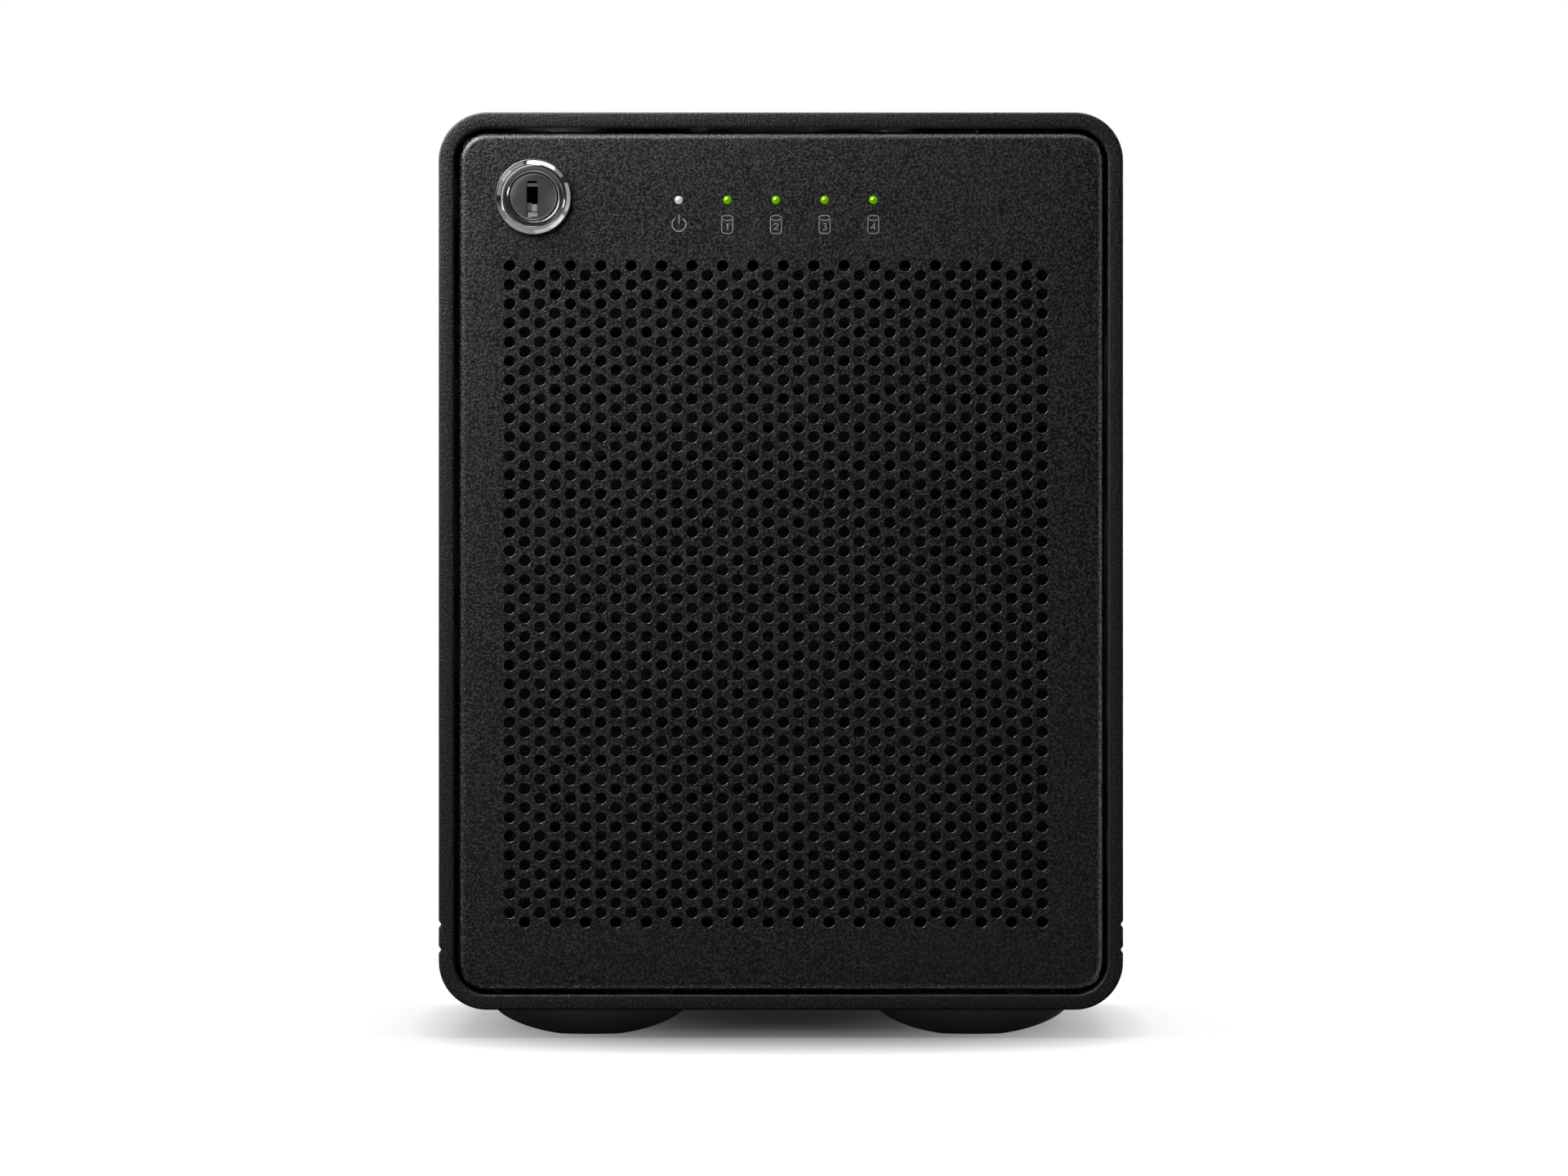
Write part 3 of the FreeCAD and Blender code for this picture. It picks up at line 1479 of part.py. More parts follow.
SINGLE_PARTS = [
    outer_case,
    rubber_feet,
    foot_screws,
    front_door_panel,
    door_snap_studs,
    door_catch_grommets,
    lock_barrel,
    lock_nut,
    lock_plug,
    lock_cam,
    lock_cam_screw,
    front_frame,
    led_board,
    power_light_pipe,
    drive_light_pipes,
    led_cable,
    left_bay_wall,
    right_bay_wall,
    bay_base,
    board_shelf,
    tray_guides,
    threaded_inserts,
    backplane_board,
    sata_sockets,
    main_board,
    chassis_screws,
    cpu_heatsink,
    soldered_parts,
    memory_module,
    ethernet_jacks,
    usb_sockets,
    rear_panel,
    fan_frame,
    fan_rotor,
    rear_screws,
    mains_inlet,
    inlet_pins,
    switch_housing,
    switch_rocker,
    power_supply_case,
    power_supply_board,
    fan_cable,
    mains_lead,
    drive_power_harness,
]
BAY_PARTS = {
    "drive_tray": drive_tray,
    "hard_drive": hard_drive,
    "drive_screws": drive_screws,
    "tray_thumbscrew": thumbscrew,
}


def build():
    """Makes every sub-part and returns them by node name."""
    made = {make.__name__: make() for make in SINGLE_PARTS}
    for number, centre in enumerate(bay_centres, start=1):
        for name, make in BAY_PARTS.items():
            node = f"{name}_{number}"
            made[node] = make(node, centre)
    for node, part in made.items():
        part.Label = node
    return made


def check(made):
    """Stops if an object failed or a sub-part isn't a sound solid."""
    bad = [o.Label for o in DOC.Objects if {"Invalid", "Error"} & set(o.State)]
    if bad:
        raise RuntimeError(f"objects failed: {bad}")
    for node, part in made.items():
        shape = part.Shape
        if shape.isNull() or not shape.isValid() or not shape.Solids:
            raise RuntimeError(f"{node} is not a sound solid")


def main():
    made = build()
    DOC.recompute()
    check(made)
    os.makedirs("parts", exist_ok=True)
    for node, part in made.items():
        part.Shape.exportStep(os.path.join("parts", f"{node}.step"))


main()
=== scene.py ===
"""Looks of a four-bay network storage enclosure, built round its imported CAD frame.

Lengths are millimetres in the frame's own axes (front towards -Y, up +Z) until a mesh is made.
"""

import json
import math

import bmesh
import bpy
from mathutils import Matrix, Vector
from mathutils.geometry import delaunay_2d_cdt

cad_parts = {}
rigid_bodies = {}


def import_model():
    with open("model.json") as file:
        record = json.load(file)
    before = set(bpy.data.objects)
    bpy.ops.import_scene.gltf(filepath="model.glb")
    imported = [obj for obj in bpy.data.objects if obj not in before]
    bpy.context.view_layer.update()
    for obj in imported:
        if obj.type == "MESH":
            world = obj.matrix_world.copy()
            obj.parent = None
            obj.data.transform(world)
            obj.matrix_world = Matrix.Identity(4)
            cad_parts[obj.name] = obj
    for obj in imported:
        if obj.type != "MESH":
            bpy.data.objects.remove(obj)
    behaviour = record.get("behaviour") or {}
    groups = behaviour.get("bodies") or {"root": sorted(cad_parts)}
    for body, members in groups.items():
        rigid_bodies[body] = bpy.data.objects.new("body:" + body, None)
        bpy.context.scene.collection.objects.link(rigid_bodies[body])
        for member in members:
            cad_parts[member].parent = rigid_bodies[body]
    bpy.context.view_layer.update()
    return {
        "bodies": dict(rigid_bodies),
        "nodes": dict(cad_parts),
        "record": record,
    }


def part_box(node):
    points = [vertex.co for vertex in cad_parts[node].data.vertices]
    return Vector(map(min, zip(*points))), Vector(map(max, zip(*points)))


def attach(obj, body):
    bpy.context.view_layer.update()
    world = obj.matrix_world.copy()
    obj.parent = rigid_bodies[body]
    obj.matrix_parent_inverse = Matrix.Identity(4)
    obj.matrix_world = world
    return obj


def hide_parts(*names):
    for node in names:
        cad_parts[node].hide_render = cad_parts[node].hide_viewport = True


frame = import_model()

MM = 0.001
RECORD = frame["record"]
SLOT_OF = {part["node"]: part["material_slot"] for part in RECORD["subparts"]}
BAYS = (1, 2, 3, 4)


def box_mm(node):
    """Lowest and highest corner of a CAD node, in millimetres."""
    low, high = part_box(node)
    return low / MM, high / MM


def middle_mm(node):
    low, high = box_mm(node)
    return (low + high) / 2


# ---------------------------------------------------------------- mesh building


class Shape:
    """Points and faces of one piece, in millimetres."""

    def __init__(self):
        self.points = []
        self.faces = []
        self.slots = []

    def add(self, points):
        start = len(self.points)
        self.points += [Vector(p) for p in points]
        return list(range(start, len(self.points)))

    def face(self, corners, slot=0):
        self.faces.append(tuple(corners))
        self.slots.append(slot)

    def bridge(self, first, second, slot=0, closed=True):
        """Quads between two loops of the same length."""
        count = len(first)
        for i in range(count if closed else count - 1):
            j = (i + 1) % count
            self.face((first[i], first[j], second[j], second[i]), slot)

    def stack(self, loops, slot=0, ring=False):
        """Bridges loops in order, and the last to the first for a ring."""
        following = loops[1:] + (loops[:1] if ring else [])
        for first, second in zip(loops, following):
            self.bridge(first, second, slot)

    def fill(self, outer, holes=(), slot=0, axes=(0, 2)):
        """Triangles of a flat region inside one loop and outside others."""
        loops = [outer, *holes]
        ids = [i for loop in loops for i in loop]
        flat = [Vector((self.points[i][axes[0]], self.points[i][axes[1]])) for i in ids]
        borders = []
        start = 0
        for loop in loops:
            borders.append(list(range(start, start + len(loop))))
            start += len(loop)
        inside_with_holes = 2
        found = delaunay_2d_cdt(flat, [], borders, inside_with_holes, 1e-7)
        faces, sources = found[2], found[3]
        for corners in faces:
            self.face([ids[sources[c][0]] for c in corners], slot)

    def lathe(self, centre, profile, axis="y", steps=48, slot=0, ring=True):
        """Turns (radius, height) pairs round an axis through centre."""
        loops = []
        for radius, height in profile:
            if radius < 1e-6:
                loops.append(self.add([along(axis, centre, 0, 0, height)]))
                continue
            loops.append(
                self.add(
                    along(axis, centre, radius * math.cos(a), radius * math.sin(a), height)
                    for a in full_turn(steps)
                )
            )
        following = loops[1:] + (loops[:1] if ring else [])
        for first, second in zip(loops, following):
            if len(first) == 1 and len(second) == 1:
                continue
            if len(first) == 1 or len(second) == 1:
                pole, loop = (first[0], second) if len(first) == 1 else (second[0], first)
                for i, corner in enumerate(loop):
                    self.face((pole, corner, loop[(i + 1) % len(loop)]), slot)
            else:
                self.bridge(first, second, slot)
        return loops

    def block(self, low, high, edge=0.0, slot=0):
        """A box with its twelve edges cut back by edge."""
        mesh = bmesh.new()
        bmesh.ops.create_cube(mesh, size=1)
        low, high = Vector(low), Vector(high)
        size = high - low
        for vert in mesh.verts:
            vert.co = low + Vector((c + 0.5) * s for c, s in zip(vert.co, size))
        if edge:
            bmesh.ops.bevel(mesh, geom=mesh.edges[:], offset=edge, segments=2, affect="EDGES")
        self.take(mesh, slot)

    def wedge(self, x, z, y, lean, depth=0.6, slot=0):
        """A small bar whose front face leans back by lean at its top."""
        front = [(x[0], y, z[0]), (x[1], y, z[0]), (x[1], y + lean, z[1]), (x[0], y + lean, z[1])]
        back = [(px, y + depth, pz) for px, _, pz in front]
        near, far = self.add(front), self.add(back)
        self.face(near, slot)
        self.face(far[::-1], slot)
        self.bridge(near, far, slot)

    def take(self, mesh, slot=0, matrix=None):
        """Copies a bmesh in, then frees it."""
        mesh.verts.ensure_lookup_table()
        matrix = matrix or Matrix.Identity(4)
        ids = self.add([matrix @ v.co for v in mesh.verts])
        for face in mesh.faces:
            self.face([ids[v.index] for v in face.verts], slot)
        mesh.free()

    def piece(self, name, body, materials, stands_for=(), sharp=34):
        """Makes the Blender object and puts it on its CAD body."""
        mesh = bpy.data.meshes.new(name)
        mesh.from_pydata([p * MM for p in self.points], [], self.faces)
        for material in materials:
            mesh.materials.append(material)
        mesh.polygons.foreach_set("material_index", self.slots)
        tidy = bmesh.new()
        tidy.from_mesh(mesh)
        bmesh.ops.recalc_face_normals(tidy, faces=tidy.faces[:])
        tidy.to_mesh(mesh)
        tidy.free()
        mesh.shade_smooth()
        mesh.set_sharp_from_angle(angle=math.radians(sharp))
        obj = bpy.data.objects.new(name, mesh)
        bpy.context.scene.collection.objects.link(obj)
        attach(obj, body)
        if stands_for:
            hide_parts(*stands_for)
        return obj


def along(axis, centre, u, v, height):
    """A point at (u, v) from a centre in the plane square to an axis, at a height along it."""
    x, y, z = centre
    if axis == "y":
        return (x + u, height, z + v)
    if axis == "x":
        return (height, y + u, z + v)
    return (x + u, y + v, height)


def rounded_outline(x, z, radius, steps=10, stops=()):
    """(x, z, normal x, normal z) round a rectangle. stops are extra heights on both upright sides."""
    points = []
    centres = (
        (x[1] - radius, z[1] - radius),
        (x[0] + radius, z[1] - radius),
        (x[0] + radius, z[0] + radius),
        (x[1] - radius, z[0] + radius),
    )
    for quarter, (cx, cz) in enumerate(centres):
        for i in range(steps + 1):
            a = (quarter + i / steps) * math.pi / 2
            normal = (math.cos(a), math.sin(a))
            points.append((cx + radius * normal[0], cz + radius * normal[1], *normal))
        if quarter == 1:
            points += [(x[0], stop, -1.0, 0.0) for stop in sorted(stops, reverse=True)]
        if quarter == 3:
            points += [(x[1], stop, 1.0, 0.0) for stop in sorted(stops)]
    return points


def inset(outline, amount, y):
    """The outline drawn in by an amount, at a depth."""
    return [(px - nx * amount, y, pz - nz * amount) for px, pz, nx, nz in outline]


def arc(centre, radius, start, end, steps):
    """Points on an arc, as (first, second) coordinates."""
    points = []
    for i in range(steps + 1):
        a = math.radians(start + (end - start) * i / steps)
        points.append((centre[0] + radius * math.cos(a), centre[1] + radius * math.sin(a)))
    return points


# ---------------------------------------------------------------- materials


class Nodes:
    """A short way to write a material's nodes."""

    def __init__(self, name):
        self.material = bpy.data.materials.new(name)
        self.material.use_nodes = True
        self.tree = self.material.node_tree
        self.shader = self.tree.nodes["Principled BSDF"]
        self.place = self.new("ShaderNodeTexCoord").outputs["Object"]

    def new(self, kind, **settings):
        node = self.tree.nodes.new(kind)
        for key, value in settings.items():
            setattr(node, key, value)
        return node

    def join(self, source, target):
        self.tree.links.new(source, target)

    def noise(self, size_mm, detail=2.0, rough=0.5, place=None):
        """Noise with features of about a size."""
        node = self.new("ShaderNodeTexNoise")
        self.join(place or self.place, node.inputs["Vector"])
        node.inputs["Scale"].default_value = 1 / (size_mm * MM)
        node.inputs["Detail"].default_value = detail
        node.inputs["Roughness"].default_value = rough
        return node.outputs["Fac"]

    def remap(self, value, low, high, to_low, to_high):
        node = self.new("ShaderNodeMapRange")
        self.join(value, node.inputs["Value"])
        for name, number in zip(
            ("From Min", "From Max", "To Min", "To Max"), (low, high, to_low, to_high)
        ):
            node.inputs[name].default_value = number
        return node.outputs["Result"]

    def math(self, kind, first, second):
        node = self.new("ShaderNodeMath", operation=kind)
        for socket, value in zip(node.inputs, (first, second)):
            if isinstance(value, (int, float)):
                socket.default_value = value
            else:
                self.join(value, socket)
        return node.outputs["Value"]

    def blend(self, factor, first, second):
        """A colour between two others."""
        node = self.new("ShaderNodeMix", data_type="RGBA")
        self.join(factor, node.inputs["Factor"])
        for socket, colour in ((node.inputs[6], first), (node.inputs[7], second)):
            if isinstance(colour, tuple):
                socket.default_value = (*colour, 1)
            else:
                self.join(colour, socket)
        return node.outputs[2]

    def bump(self, height, distance_mm, strength=1.0, below=None):
        node = self.new("ShaderNodeBump")
        node.inputs["Distance"].default_value = distance_mm * MM
        node.inputs["Strength"].default_value = strength
        self.join(height, node.inputs["Height"])
        if below is not None:
            self.join(below, node.inputs["Normal"])
        return node.outputs["Normal"]

    def set(self, **inputs):
        for name, value in inputs.items():
            socket = self.shader.inputs[name.replace("_", " ")]
            if isinstance(value, bpy.types.NodeSocket):
                self.join(value, socket)
            elif isinstance(value, tuple):
                socket.default_value = (*value, 1)
            else:
                socket.default_value = value
        return self.material


def powder_coat(name, shade, grain=0.4, gloss=0.42, edge_gloss=None):
    """Black textured powder coat: a pebbled skin with painted shade in its pits and painted highlights
    on its tips.

    Where edge_gloss is given, the coat is smoother on faces turned away from the front.
    """
    n = Nodes(name)
    pebble = n.noise(grain, 2.0, 0.6)
    fleck = n.noise(grain * 0.5, 1.0, 0.5)
    drift = n.noise(22, 2.0, 0.5)
    # painted light on the grain: painted highlights on the pebbles' tips, painted shade in their pits
    painted_pebble_light = n.remap(pebble, 0.45, 0.64, 0.0, 1.0)
    base = n.blend(painted_pebble_light, tuple(c * 0.04 for c in shade), tuple(c * 3.6 for c in shade))
    worn = n.blend(n.remap(drift, 0.3, 0.7, 0.0, 0.15), base, tuple(c * 1.3 for c in shade))
    rough = n.remap(fleck, 0.3, 0.7, gloss - 0.09, gloss + 0.09)
    if edge_gloss:
        facing = n.new("ShaderNodeSeparateXYZ")
        n.join(n.new("ShaderNodeNewGeometry").outputs["Normal"], facing.inputs["Vector"])
        turned = n.remap(facing.outputs["Y"], -0.97, -0.75, 0, gloss - edge_gloss)
        rough = n.math("SUBTRACT", rough, turned)
    skin = n.bump(pebble, 0.09, 1.0, n.bump(fleck, 0.04, 0.9))
    return n.set(Base_Color=worn, Roughness=rough, Normal=skin, Specular_IOR_Level=0.38)


def moulded(name, shade, rough=0.45, grain=0.25, depth=0.012, shine=0.5):
    """Injection-moulded plastic or rubber with a fine spark-eroded grain."""
    n = Nodes(name)
    fine = n.noise(grain, 2.0, 0.6)
    broad = n.noise(9.0, 3.0, 0.5)
    lighter = tuple(c * 1.35 + 0.002 for c in shade)
    colour = n.blend(n.remap(broad, 0.3, 0.7, 0.0, 1.0), shade, lighter)
    gloss = n.remap(broad, 0.25, 0.75, rough - 0.06, rough + 0.08)
    skin = n.bump(fine, depth, 0.8)
    return n.set(Base_Color=colour, Roughness=gloss, Normal=skin, Specular_IOR_Level=shine)


def sheet_metal(name, shade, rough=0.35, spangle=6.0):
    """Zinc-coated sheet: crystal patches, faint rolling lines."""
    n = Nodes(name)
    cells = n.new("ShaderNodeTexVoronoi")
    n.join(n.place, cells.inputs["Vector"])
    cells.inputs["Scale"].default_value = 1 / (spangle * MM)
    patch = n.new("ShaderNodeSeparateColor")
    n.join(cells.outputs["Color"], patch.inputs["Color"])
    stretch = n.new("ShaderNodeMapping")
    stretch.inputs["Scale"].default_value = (1, 0.06, 1)
    n.join(n.place, stretch.inputs["Vector"])
    lines = n.noise(0.35, 2.0, 0.6, stretch.outputs["Vector"])
    colour = n.blend(patch.outputs[0], tuple(c * 0.82 for c in shade), shade)
    gloss = n.remap(patch.outputs[1], 0, 1, rough - 0.06, rough + 0.08)
    return n.set(Base_Color=colour, Roughness=gloss, Metallic=1.0, Normal=n.bump(lines, 0.006, 0.5))


def bright_metal(name, shade, rough=0.08, brushed=0.0):
    """Plated or machined metal with fine scratches and smudges."""
    n = Nodes(name)
    scratch = n.noise(0.12, 1.0, 0.5)
    smudge = n.noise(2.5, 3.0, 0.6)
    gloss = n.remap(smudge, 0.3, 0.75, rough, rough + 0.07 + brushed)
    colour = n.blend(n.remap(smudge, 0.3, 0.7, 0, 1), shade, tuple(c * 0.88 for c in shade))
    normal = n.bump(scratch, 0.001 + 0.006 * brushed, 0.4)
    return n.set(Base_Color=colour, Roughness=gloss, Metallic=1.0, Normal=normal)


def drive_casting():
    """Black coated casting with a bare stamped lid on its upper face."""
    n = Nodes("drive_casting")
    facing = n.new("ShaderNodeNewGeometry")
    parts = n.new("ShaderNodeSeparateXYZ")
    n.join(facing.outputs["Normal"], parts.inputs["Vector"])
    lid = n.remap(parts.outputs["Z"], 0.7, 0.8, 0, 1)
    brushed = n.noise(0.5, 3.0, 0.6)
    cloud = n.noise(8, 2.0, 0.5)
    bare = n.blend(cloud, (0.30, 0.305, 0.31), (0.33, 0.335, 0.34))
    colour = n.blend(lid, (0.012, 0.012, 0.013), bare)
    return n.set(
        Base_Color=colour,
        Metallic=lid,
        Roughness=n.remap(cloud, 0.3, 0.7, 0.46, 0.50),
        Normal=n.bump(brushed, 0.003, 0.5),
    )


def circuit_board(name, shade):
    """Solder mask over faint copper tracks."""
    n = Nodes(name)
    tracks = n.new("ShaderNodeTexBrick")
    n.join(n.place, tracks.inputs["Vector"])
    tracks.inputs["Scale"].default_value = 1 / (9 * MM)
    tracks.inputs["Mortar Size"].default_value = 0.03
    tracks.inputs["Color1"].default_value = (*shade, 1)
    tracks.inputs["Color2"].default_value = (*(c * 0.8 for c in shade), 1)
    tracks.inputs["Mortar"].default_value = (*(c * 1.9 for c in shade), 1)
    cloud = n.noise(4.0, 2.0, 0.5)
    colour = n.blend(n.remap(cloud, 0.4, 0.7, 0, 0.35), tracks.outputs["Color"], shade)
    return n.set(
        Base_Color=colour, Roughness=0.28, Normal=n.bump(tracks.outputs["Fac"], 0.03, 0.6)
    )


def lit_lens(name, shade, spark, power):
    """Small domed lamp, glowing dim all over, with a painted highlight in its glow towards the upper
    left.
    """
    n = Nodes(name)
    # painted highlight: the glow turns to the highlight colour where the dome faces up, left and to
    # the front
    side = n.new("ShaderNodeVectorMath", operation="DOT_PRODUCT")
    n.join(n.new("ShaderNodeNewGeometry").outputs["Normal"], side.inputs[0])
    side.inputs[1].default_value = (-0.42, -0.76, 0.49)
    glow = n.blend(n.remap(side.outputs["Value"], 0.72, 0.97, 0, 1), shade, spark)
    speck = n.noise(0.3, 1.0, 0.5)
    return n.set(
        Base_Color=tuple(c * 0.3 for c in shade),
        Roughness=n.remap(speck, 0, 1, 0.08, 0.18),
        Emission_Color=glow,
        Emission_Strength=power,
    )


def printed(name, shade):
    """Matt printing ink, a little uneven."""
    n = Nodes(name)
    ink = n.noise(0.2, 2.0, 0.6)
    colour = n.blend(ink, tuple(c * 0.8 for c in shade), shade)
    return n.set(Base_Color=colour, Roughness=0.6, Normal=n.bump(ink, 0.01, 0.5))


MATERIALS = {
    "case_paint": powder_coat("case_coat", (0.0044, 0.0044, 0.0045), 0.5, 0.42),
    "door_paint": powder_coat("door_coat", (0.0064, 0.0064, 0.0065), 0.5, 0.37, edge_gloss=0.16),
    "foot_rubber": moulded("foot_rubber", (0.075, 0.075, 0.075), 0.72, 0.4, 0.01, 0.25),
    "chrome": bright_metal("lock_chrome", (0.78, 0.78, 0.79), 0.07),
    "plug_metal": bright_metal("lock_plug_metal", (0.58, 0.58, 0.59), 0.26, 0.06),
    "steel_screw": bright_metal("zinc_screw", (0.60, 0.60, 0.60), 0.22, 0.1),
    "black_screw": bright_metal("black_screw", (0.045, 0.045, 0.047), 0.28, 0.1),
    "zinc_sheet": sheet_metal("zinc_sheet", (0.56, 0.57, 0.58)),
    "frame_steel": powder_coat("frame_coat", (0.0075, 0.0075, 0.0077), 0.4, 0.42),
    "panel_steel": powder_coat("panel_coat", (0.0085, 0.0085, 0.0087), 0.45, 0.42),
    "tray_steel": powder_coat("tray_coat", (0.0075, 0.0075, 0.0077), 0.4, 0.42),
    "guide_plastic": moulded("guide_plastic", (0.016, 0.016, 0.016), 0.42),
    "black_plastic": moulded("black_plastic", (0.013, 0.013, 0.013), 0.38),
    "stud_plastic": moulded("stud_plastic", (0.016, 0.016, 0.016), 0.35),
    "clear_pipe_white": lit_lens("white_lamp", (0.42, 0.42, 0.44), (1.0, 1.0, 1.0), 0.9),
    "clear_pipe_green": lit_lens("green_lamp", (0.07, 0.30, 0.0), (0.78, 0.92, 0.01), 0.95),
    "circuit_board": circuit_board("circuit_board", (0.006, 0.060, 0.022)),
    "socket_black": moulded("socket_plastic", (0.012, 0.012, 0.012), 0.4),
    "chip_black": moulded("chip_resin", (0.014, 0.014, 0.015), 0.5, 0.15),
    "fin_aluminium": bright_metal("fin_aluminium", (0.72, 0.72, 0.73), 0.28, 0.1),
    "port_steel": bright_metal("port_nickel", (0.60, 0.59, 0.57), 0.34),
    "pin_brass": bright_metal("pin_nickel", (0.70, 0.66, 0.56), 0.18),
    "drive_cast": drive_casting(),
    "lead_black": moulded("lead_sheath", (0.012, 0.012, 0.012), 0.42, 0.3),
    "ribbon": moulded("ribbon_flex", (0.40, 0.40, 0.41), 0.4, 0.3),
    "switch_black": moulded("switch_gloss", (0.010, 0.010, 0.010), 0.22, 0.3, 0.004),
}
PRINT = printed("icon_ink", (0.16, 0.16, 0.16))
# painted shade: near-black for the walls and floor inside the keyway
KEYWAY_PAINTED_SHADE = moulded("keyway_painted_shade", (0.002, 0.002, 0.002), 0.6)
WAFER = bright_metal("wafer_steel", (0.78, 0.78, 0.77), 0.38)

for node, obj in frame["nodes"].items():
    obj.data.materials.clear()
    obj.data.materials.append(MATERIALS[SLOT_OF[node]])


def soften(node, width_mm=0.15, segments=2):
    """Rounds a CAD node's edges by modifiers, leaving its mesh as it is."""
    obj = frame["nodes"][node]
    weld = obj.modifiers.new("join", "WELD")
    weld.merge_threshold = 1e-6
    bevel = obj.modifiers.new("soft_edges", "BEVEL")
    bevel.width = width_mm * MM
    bevel.segments = segments
    bevel.limit_method = "ANGLE"
    bevel.angle_limit = math.radians(38)
    bevel.use_clamp_overlap = True
    normals = obj.modifiers.new("even_normals", "WEIGHTED_NORMAL")
    normals.keep_sharp = False


# ---------------------------------------------------------------- outer case

RIM_ROUND = 0.4
GROOVE_DEPTH = 0.42
GROOVE_HALF = 0.8
GROOVE_HEIGHTS = (11.9, 16.9)
CASE_RADIUS = 9.5
CASE_WALL = 3.0
PORT_X = 60.3
PORT_Z = (12.7, 175.3)
PORT_BORE = 1.55
PORT_RADIUS = 3.6
PORT_Y = (-106.3, 118.0)


def groove_cut(z, low):
    """How deep the side grooves are at a height."""
    deepest = 0.0
    for height in GROOVE_HEIGHTS:
        t = (z - low - height) / GROOVE_HALF
        if abs(t) < 1:
            deepest = max(deepest, GROOVE_DEPTH * (0.5 + 0.5 * math.cos(math.pi * t)))
    return deepest


def rim_profile(front, rear):
    """(inset, y) round the wall's section, from the outer rear edge by the front to the inner rear."""
    r = RIM_ROUND
    w = CASE_WALL
    profile = arc((r, rear - r), r, 90, 180, 3)
    profile += [(0.0, y) for y in (rear - 2, front + 2)]
    profile += arc((r, front + r), r, 180, 270, 4)
    profile += arc((w - r, front + r), r, 270, 360, 4)
    profile += [(w, y) for y in (front + 2, rear - 2)]
    profile += arc((w - r, rear - r), r, 0, 90, 3)
    return profile


def outer_case():
    """Extruded tube with two grooves along each side and a screw port in each corner."""
    low, high = box_mm("outer_case")
    x, z = (low.x, high.x), (low.z, high.z)
    marks = (-1, -0.75, -0.5, -0.25, 0, 0.25, 0.5, 0.75, 1)
    stops = [z[0] + h + t * GROOVE_HALF for h in GROOVE_HEIGHTS for t in marks]
    outline = rounded_outline(x, z, CASE_RADIUS, 14, stops)
    cuts = [groove_cut(pz, z[0]) if abs(nx) > 0.99 else 0.0 for _, pz, nx, _ in outline]
    shape = Shape()
    loops = []
    for amount, y in rim_profile(low.y, high.y):
        share = 1 - amount / CASE_WALL
        ring = [
            (px - nx * (amount + cut * share), y, pz - nz * (amount + cut * share))
            for (px, pz, nx, nz), cut in zip(outline, cuts)
        ]
        loops.append(shape.add(ring))
    shape.stack(loops, ring=True)
    front, rear = PORT_Y
    tube = [(PORT_BORE, front), (PORT_RADIUS - 0.2, front), (PORT_RADIUS, front + 0.2)]
    tube += [(PORT_RADIUS, rear - 0.2), (PORT_RADIUS - 0.2, rear), (PORT_BORE, rear)]
    for px in (-PORT_X, PORT_X):
        for pz in PORT_Z:
            shape.lathe((px, 0, pz), tube, steps=28)
    return shape.piece(
        "case_shell", "chassis", [MATERIALS["case_paint"]], ["outer_case"], 40
    )


# ---------------------------------------------------------------- door

DOOR_EDGE = 1.2
DOOR_RADIUS = 5.3
DOOR_SKIN = 1.6
LAMP_HOLE_RADIUS = 0.8
LOCK_HOLE_RADIUS = 6.0
HOLE_RADIUS = 1.13
HOLE_BREAK = 0.08
HOLE_SIDES = 16
COLUMN_PITCH = 3.0
ROW_PITCH = 3.75
COLUMNS = 36
ROWS = 35
GRILLE_X = -1.0
GRILLE_Z = 87.5


def hole_places():
    """Centres of the staggered holes, column by column."""
    left = GRILLE_X - COLUMN_PITCH * (COLUMNS - 1) / 2
    low = GRILLE_Z - ROW_PITCH * (ROWS - 0.5) / 2
    for column in range(COLUMNS):
        lift = ROW_PITCH / 2 if column % 2 == 0 else 0
        for row in range(ROWS):
            yield left + column * COLUMN_PITCH, low + lift + row * ROW_PITCH


def full_turn(steps):
    """Angles of even steps round a circle."""
    return [2 * math.pi * i / steps for i in range(steps)]


def ring_points(x, y, z, radius, sides):
    """Points round a circle that faces the front."""
    return [(x + radius * math.cos(a), y, z + radius * math.sin(a)) for a in full_turn(sides)]


def front_door():
    """Pan with a rolled edge; every hole's rim is eased as paint rounds it."""
    low, high = box_mm("front_door_panel")
    front, back = low.y, high.y
    skin_back = front + DOOR_SKIN
    outline = rounded_outline((low.x, high.x), (low.z, high.z), DOOR_RADIUS, 10)
    shape = Shape()
    profile = [(DOOR_SKIN, back - 0.3), (DOOR_SKIN - 0.3, back), (0.3, back), (0.0, back - 0.3)]
    profile += [(0.0, front + 3)]
    profile += [(o, y) for o, y in arc((DOOR_EDGE, front + DOOR_EDGE), DOOR_EDGE, 180, 270, 9)]
    loops = [shape.add(inset(outline, DOOR_SKIN + 0.5, skin_back))]
    loops.append(shape.add(inset(outline, DOOR_SKIN, skin_back + 0.5)))
    loops += [shape.add(inset(outline, amount, y)) for amount, y in profile]
    shape.stack(loops)
    front_holes, back_holes = [], []
    openings = [(px, pz, HOLE_RADIUS, HOLE_BREAK, HOLE_SIDES) for px, pz in hole_places()]
    openings += [(px, lamp_z, LAMP_HOLE_RADIUS, 0.06, 20) for px in lamp_xs]
    openings.append((lock_x, lock_z, LOCK_HOLE_RADIUS, 0.1, 40))
    for px, pz, radius, ease, sides in openings:
        mouth = shape.add(ring_points(px, front, pz, radius + ease, sides))
        throat = shape.add(ring_points(px, front + ease, pz, radius, sides))
        end = shape.add(ring_points(px, skin_back, pz, radius, sides))
        shape.stack([mouth, throat, end])
        front_holes.append(mouth)
        back_holes.append(end)
    shape.fill(loops[-1], front_holes)
    shape.fill(loops[0], back_holes)
    return shape.piece(
        "door_panel", "front_door", [MATERIALS["door_paint"]], ["front_door_panel"], 40
    )


